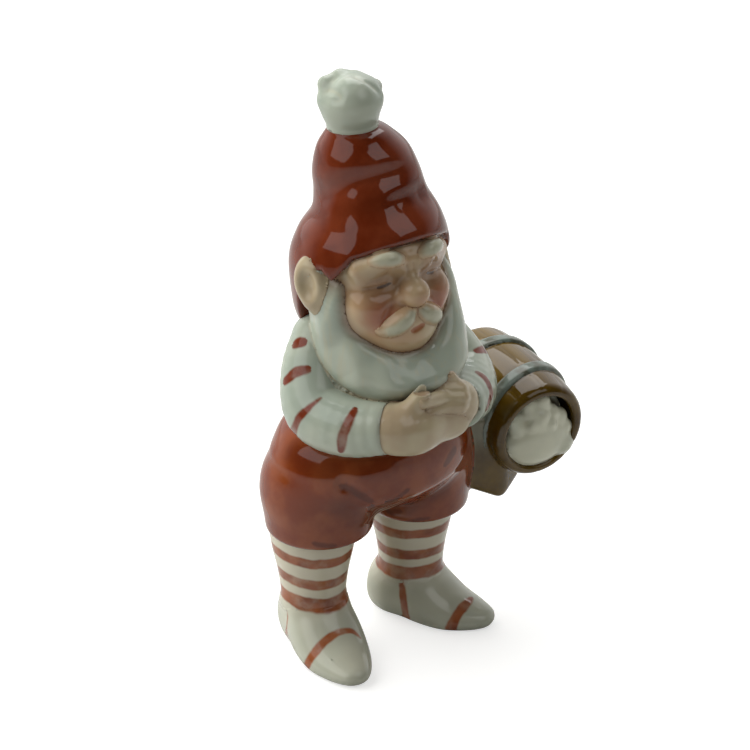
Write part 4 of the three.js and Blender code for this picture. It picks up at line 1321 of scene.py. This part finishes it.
class Brush(Wiring):
    """Wires one glazed material."""

    def __init__(self, name):
        super().__init__(bpy.data.materials.new(name))
        self.place = self.add("TexCoord").outputs["Object"]

    def read(self, name):
        node = self.add("Attribute")
        node.attribute_name = name
        return node.outputs["Fac"]

    def height(self):
        parts = self.add("SeparateXYZ")
        self.plug(parts.inputs["Vector"], self.place)
        return parts.outputs["Z"]

    def noise(self, per_mm, detail=2.0, stretch=(1.0, 1.0, 1.0)):
        scale = self.add("Mapping")
        scale.inputs["Scale"].default_value = [s * per_mm / MM for s in stretch]
        self.plug(scale.inputs["Vector"], self.place)
        node = self.add("TexNoise")
        node.inputs["Scale"].default_value = 1.0
        node.inputs["Detail"].default_value = detail
        self.plug(node.inputs["Vector"], scale.outputs["Vector"])
        return node.outputs["Fac"]

    def ragged(self, name, amount, per_mm):
        """A painted edge's distance, wandering as a brush does."""
        wander = self.math("MULTIPLY", self.math("SUBTRACT", self.noise(per_mm), 0.5), amount)
        return self.math("ADD", self.read(name), wander)

    def wash(self, tone, paint, value, start, end, most=1.0):
        """A tone with paint laid over it, more of it as a value runs from start to end."""
        return self.mix(self.ramp(value, start, end, 0.0, most), tone, paint)

    def glazed(self, tone, soft=0.0):
        """The finished material: a tone under clear glaze, lit softly from inside."""
        bump = self.add("Bump")
        bump.inputs["Strength"].default_value = GLAZE_WAVE_STRENGTH
        bump.inputs["Distance"].default_value = GLAZE_WAVE * MM
        self.plug(bump.inputs["Height"], self.noise(GLAZE_WAVES_PER_MM))
        shader = self.tree.nodes["Principled BSDF"]
        self.plug(shader.inputs["Base Color"], tone)
        self.plug(shader.inputs["Normal"], bump.outputs["Normal"])
        shader.inputs["Roughness"].default_value = GLAZE_ROUGHNESS
        shader.inputs["IOR"].default_value = GLAZE_IOR
        shader.inputs["Subsurface Weight"].default_value = soft
        shader.inputs["Subsurface Radius"].default_value = SOFT_RADIUS
        shader.inputs["Subsurface Scale"].default_value = SOFT_DEPTH * MM
        return self.owner


WHITE = colour(168, 174, 157)
WHITE_WARM = colour(180, 169, 138)
WHITE_COOL = colour(157, 166, 151)
# A pale cream laid on the lower legs as painted light bounced up from the floor.
CREAM_BOUNCE_LIGHT = colour(204, 196, 174)
BRICK = colour(150, 88, 54)
BRICK_DEEP = colour(124, 62, 32)
SLEEVE_PAINT = colour(112, 46, 24)
HAT_RED = colour(94, 33, 9)
HAT_LIGHT = colour(110, 46, 22)
TROUSER_RED = colour(112, 46, 16)
TROUSER_LIGHT = colour(130, 64, 30)
# Dark red for the brush accents and for the painted shade in the crotch and under the belly fold.
ACCENT_AND_SHADE_RED = colour(82, 28, 6)
RED_DEEP = colour(72, 24, 8)
SKIN = colour(176, 146, 112)
SKIN_PALE = colour(168, 150, 122)
SKIN_ROSE = colour(150, 82, 60)
SKIN_BROWN = colour(112, 74, 46)
WOOD = colour(106, 82, 20)
WOOD_DEEP = colour(62, 42, 3)
HOOP = colour(114, 124, 114)
HOOP_DEEP = colour(82, 82, 66)
STRAP = colour(118, 116, 96)
EYE_BROWN = colour(52, 26, 8)
FOAM = colour(206, 206, 184)
FOAM_WARM = colour(196, 182, 144)


WHITE_SOFT = 0.08
PAINTED_SOFT = 0.06
FOAM_SOFT = 0.04


def porcelain(brush):
    """White glaze: cooler in random patches, warmer in the creases where glaze pools and as painted shade
    there, and a little brown as painted shade where it meets another piece.
    """
    tone = brush.wash(WHITE, WHITE_COOL, brush.noise(0.09), 0.35, 0.65)
    tone = brush.wash(tone, WHITE_WARM, brush.read("hollow"), 0.05, 0.7, 0.7)
    # Painted shade at the seams with neighbouring pieces.
    return brush.wash(tone, SKIN_BROWN, brush.read("contact"), 0.7, 0.0, 0.22)


def white_glaze():
    brush = Brush("white_glaze_look")
    return brush.glazed(porcelain(brush), WHITE_SOFT)


def whisker_glaze():
    """White on the crown of a tuft, flesh at its foot and on one side."""
    brush = Brush("whisker_look")
    tone = brush.mix(0.5, porcelain(brush), WHITE_WARM)
    tone = brush.wash(tone, SKIN, brush.ragged("flesh", 0.8, 0.5), -0.1, 1.3, 0.85)
    tone = brush.wash(tone, SKIN, brush.ragged("contact", 0.5, 0.5), 1.1, 0.1, 0.9)
    return brush.glazed(tone)


def beard_glaze():
    """White with faint strands, browned round the face as painted shade where it meets the face."""
    brush = Brush("beard_look")
    strands = brush.noise(0.7, 2.0, (1.0, 1.0, 0.1))
    tone = brush.wash(porcelain(brush), WHITE_WARM, strands, 0.5, 0.7, 0.25)
    # Painted shade along the seam with the face.
    tone = brush.wash(tone, SKIN_BROWN, brush.ragged("face_gap", 0.8, 0.3), 2.4, 0.0, 0.8)
    return brush.glazed(tone, WHITE_SOFT)


def foam_glaze():
    brush = Brush("foam_look")
    tone = brush.wash(FOAM, WHITE, brush.noise(0.12), 0.4, 0.7, 0.4)
    # Warmer in the creases: painted shade, where the glaze also pools.
    tone = brush.wash(tone, FOAM_WARM, brush.read("hollow"), 0.1, 1.0, 0.6)
    return brush.glazed(tone, FOAM_SOFT)


def striped_glaze():
    """White painted with brick strokes, lifted to cream on the lower legs and less on the shoes as painted
    light bounced up from the floor, and redder on the shirt.
    """
    brush = Brush("striped_glaze_look")
    # Painted bounce light: the lower legs lifted towards cream, the shoes less.
    above_shoes = brush.ramp(brush.height(), 8.0 * MM, 17.0 * MM, 0.4, 1.0)
    below_knees = brush.ramp(brush.height(), 42.0 * MM, 30.0 * MM, 0.0, 0.85)
    ground = brush.mix(brush.math("MULTIPLY", above_shoes, below_knees), porcelain(brush), CREAM_BOUNCE_LIGHT)
    paint = brush.wash(BRICK, BRICK_DEEP, brush.noise(0.18), 0.4, 0.7)
    paint = brush.wash(paint, SLEEVE_PAINT, brush.height(), 40.0 * MM, 50.0 * MM)
    band = brush.ramp(brush.ragged("stripe", 0.9, 0.25), 0.3, -0.4)
    load = brush.ramp(brush.noise(0.22, 3.0), 0.25, 0.6, 0.72, 1.0)
    return brush.glazed(brush.mix(brush.math("MULTIPLY", band, load), ground, paint), PAINTED_SOFT)


def red_tone(brush, below, above):
    tone = brush.wash(below, above, brush.noise(0.12, 3.0), 0.35, 0.65)
    # Darker in the creases as painted shade, and rose on the ridges as painted highlights.
    tone = brush.wash(tone, RED_DEEP, brush.read("hollow"), 0.05, 0.8, 0.75)
    return brush.wash(tone, SKIN_ROSE, brush.read("hollow"), -0.35, -1.4, 0.3)


def hat_glaze():
    brush = Brush("hat_look")
    return brush.glazed(red_tone(brush, HAT_RED, HAT_LIGHT))


def trouser_glaze():
    brush = Brush("trouser_look")
    tone = red_tone(brush, TROUSER_RED, TROUSER_LIGHT)
    tone = brush.wash(tone, RED_DEEP, brush.ragged("shadow", 1.5, 0.2), 5.0, 1.0, 0.45)
    # Dark brush accents, with painted shade along the crotch and under the belly fold.
    tone = brush.wash(tone, ACCENT_AND_SHADE_RED, brush.ragged("accent", 0.8, 0.4), 0.6, -0.4, 0.8)
    return brush.glazed(tone)


def skin_tone(brush, base, depth):
    """Flesh colour, browned in the creases and at the seams as painted shade."""
    tone = brush.wash(base, WHITE_WARM, brush.noise(0.12), 0.35, 0.65, 0.6)
    tone = brush.wash(tone, SKIN_BROWN, brush.read("hollow"), 0.05, 0.8, depth)
    return brush.wash(tone, SKIN_BROWN, brush.read("contact"), 0.8, 0.0, 0.6 * depth)


def skin_glaze():
    brush = Brush("skin_glaze_look")
    return brush.glazed(skin_tone(brush, SKIN_PALE, 0.5), PAINTED_SOFT)


def face_glaze():
    brush = Brush("face_look")
    tone = skin_tone(brush, SKIN, 0.75)
    tone = brush.wash(tone, SKIN_ROSE, brush.read("blush"), 2.0, -3.0, 0.8)
    # Painted shade along the seam with the beard.
    tone = brush.wash(tone, SKIN_BROWN, brush.read("beard_gap"), 1.8, 0.0, 0.6)
    # Brown round the eyes and nose: airbrushed brown together with painted shade in the eye sockets.
    tone = brush.wash(tone, SKIN_BROWN, brush.read("eye"), 8.0, 0.0, 0.7)
    tone = brush.wash(tone, BRICK, brush.ragged("mouth", 0.4, 0.8), 0.3, -0.3, 0.8)
    tone = brush.wash(tone, EYE_BROWN, brush.ragged("eye", 0.35, 0.8), 0.3, -0.2, 0.9)
    return brush.glazed(tone, PAINTED_SOFT)


def wood_tone(brush):
    grain = brush.noise(0.12, 3.0, (1.0, 0.3, 1.0))
    tone = brush.wash(WOOD, WOOD_DEEP, grain, 0.3, 0.75, 0.8)
    # Darker in the creases as painted shade.
    return brush.wash(tone, WOOD_DEEP, brush.read("hollow"), 0.05, 0.9, 0.8)


def wood_glaze():
    brush = Brush("wood_glaze_look")
    return brush.glazed(wood_tone(brush))


def stave_glaze():
    brush = Brush("stave_look")
    tone = brush.wash(wood_tone(brush), WOOD_DEEP, brush.ragged("stave", 0.6, 0.4), 0.5, 0.0, 0.3)
    # Darker near the mouth end: painted shade on the rim and inside it.
    return brush.glazed(brush.wash(tone, WOOD_DEEP, brush.ragged("mouth_gap", 3.0, 0.12), 6.0, 2.0, 0.3))


def bracket_glaze():
    brush = Brush("bracket_look")
    return brush.glazed(brush.wash(wood_tone(brush), STRAP, brush.ragged("strap", 2.0, 0.2), 3.0, -3.0, 0.9))


def hoop_glaze():
    brush = Brush("hoop_glaze_look")
    tone = brush.wash(HOOP, HOOP_DEEP, brush.noise(0.3, 3.0), 0.35, 0.7)
    # Darker in the creases as painted shade.
    return brush.glazed(brush.wash(tone, HOOP_DEEP, brush.read("hollow"), 0.05, 0.9, 0.8))


# The slot and the look of every piece.
LOOKS = [
    ("white_glaze", beard_glaze, ["beard"]),
    ("white_glaze", white_glaze, ["pompom"]),
    ("white_glaze", foam_glaze, ["barrel_filling"]),
    ("white_glaze", whisker_glaze, ["right_brow", "left_brow", "right_moustache", "left_moustache"]),
    ("striped_glaze", striped_glaze, ["torso", "right_shoe", "left_shoe", "right_stocking", "left_stocking",
                                      "right_sleeve", "left_sleeve"]),
    ("red_glaze", trouser_glaze, ["trousers"]),
    ("red_glaze", hat_glaze, ["hat"]),
    ("skin_glaze", skin_glaze, ["right_hand", "left_hand", "right_ear", "left_ear"]),
    ("skin_glaze", face_glaze, ["head"]),
    ("wood_glaze", stave_glaze, ["barrel_staves"]),
    ("wood_glaze", wood_glaze, ["barrel_rear_head"]),
    ("wood_glaze", bracket_glaze, ["barrel_bracket"]),
    ("hoop_glaze", hoop_glaze, ["barrel_front_hoop", "barrel_rear_hoop"]),
]
for _slot, _look, _names in LOOKS:
    _material = _look()
    for _name in _names:
        add_piece(_name, _material)


# The stage: a pale floor, soft boxes to either side and behind, and white all round. A light's place is in
# degrees round from the camera and degrees up, and its size in millimetres.
PLAIN_LIGHT = 0.03
SIDE_LIGHTS = [(-114, 20, 3.4), (116, 20, 0.6)]
FRONT_MIRRORED = 0.03
FLOOR_HALF = 4.0
FLOOR_COLOUR = (0.62, 0.62, 0.6, 1.0)
FLOOR_ROUGHNESS = 0.6
FLOOR_LIFT = 0.6
PURE_WHITE = (1.0, 1.0, 1.0, 1.0)
BOX_DISTANCE = 560.0
SOFT_BOXES = [
    ("left_window", -64, 44, 440, 1.15),
    ("right_window", 56, 46, 340, 1.05),
    ("back_box", 175, 58, 440, 2.2),
]


def world_point(p):
    return Vector((np.array(p, float) + ORIGIN) * MM)


class Sky(Wiring):
    """Wires the world, whose values all depend on direction."""

    def __init__(self):
        super().__init__(bpy.data.worlds.new("studio"))
        self.place = self.add("TexCoord").outputs["Generated"]

    def toward(self, way, start, end, low, high):
        """A value that runs from low to high as the direction turns towards a way."""
        facing = self.add("VectorMath")
        facing.operation = "DOT_PRODUCT"
        facing.inputs[1].default_value = way
        self.plug(facing.inputs[0], self.place)
        return self.ramp(facing.outputs["Value"], start, end, low, high, "LINEAR")


def white_world():
    """White wherever the camera looks, light from the sides, and a dark front for the glaze to mirror."""
    sky = Sky()
    light = PLAIN_LIGHT
    for azimuth, elevation, strength in SIDE_LIGHTS:
        side = sky.toward(view_way(azimuth, elevation), 0.4, 1.0, 0.0, strength)
        light = sky.math("ADD", side, light)
    ray = sky.add("LightPath").outputs
    glossy = sky.math("MAXIMUM", ray["Is Glossy Ray"], ray["Is Transmission Ray"])
    reflected = sky.toward(VIEW_BACK, -0.6, 0.1, 1.0, FRONT_MIRRORED)
    unseen = sky.mix(glossy, light, reflected, "FLOAT")
    background = sky.tree.nodes["Background"]
    background.inputs["Color"].default_value = PURE_WHITE
    sky.plug(background.inputs["Strength"], sky.mix(ray["Is Camera Ray"], unseen, 1.0, "FLOAT"))
    bpy.context.scene.world = sky.owner


def floor():
    """A pale floor, lifted to white for the camera, that keeps the figure's shadow."""
    corners = [(x * FLOOR_HALF, y * FLOOR_HALF, 0.0) for x, y in ((-1, -1), (1, -1), (1, 1), (-1, 1))]
    mesh = bpy.data.meshes.new("floor")
    mesh.from_pydata(corners, [], [(0, 1, 2, 3)])
    look = Wiring(bpy.data.materials.new("floor_look"))
    shader = look.tree.nodes["Principled BSDF"]
    shader.inputs["Base Color"].default_value = FLOOR_COLOUR
    shader.inputs["Roughness"].default_value = FLOOR_ROUGHNESS
    shader.inputs["Emission Color"].default_value = PURE_WHITE
    in_view = look.add("LightPath").outputs["Is Camera Ray"]
    look.plug(shader.inputs["Emission Strength"], look.math("MULTIPLY", in_view, FLOOR_LIFT))
    mesh.materials.append(look.owner)
    placed("floor", mesh)


def soft_box(name, azimuth, elevation, size, radiance):
    """A square soft box that faces the figure."""
    way = view_way(azimuth, elevation)
    data = bpy.data.lights.new(name, "AREA")
    data.shape = "SQUARE"
    data.size = size * MM
    data.energy = radiance * math.pi * (size * MM) ** 2
    lamp = placed(name, data)
    lamp.location = world_point(VIEW_TARGET + BOX_DISTANCE * way)
    lamp.rotation_euler = Vector(way).to_track_quat("Z", "Y").to_euler()


def camera():
    data = bpy.data.cameras.new("camera")
    data.sensor_width = SENSOR
    data.lens = SENSOR * PIXELS_PER_MM * VIEW_DISTANCE / PICTURE
    data.clip_start = 0.01
    eye = placed("camera", data)
    axes = np.stack([VIEW_RIGHT, VIEW_UP, VIEW_BACK], axis=1)
    eye.matrix_world = Matrix.Translation(world_point(VIEW_EYE)) @ Matrix(axes.tolist()).to_4x4()
    bpy.context.scene.camera = eye


white_world()
floor()
for _box in SOFT_BOXES:
    soft_box(*_box)
camera()
bpy.context.scene.view_settings.view_transform = "Standard"
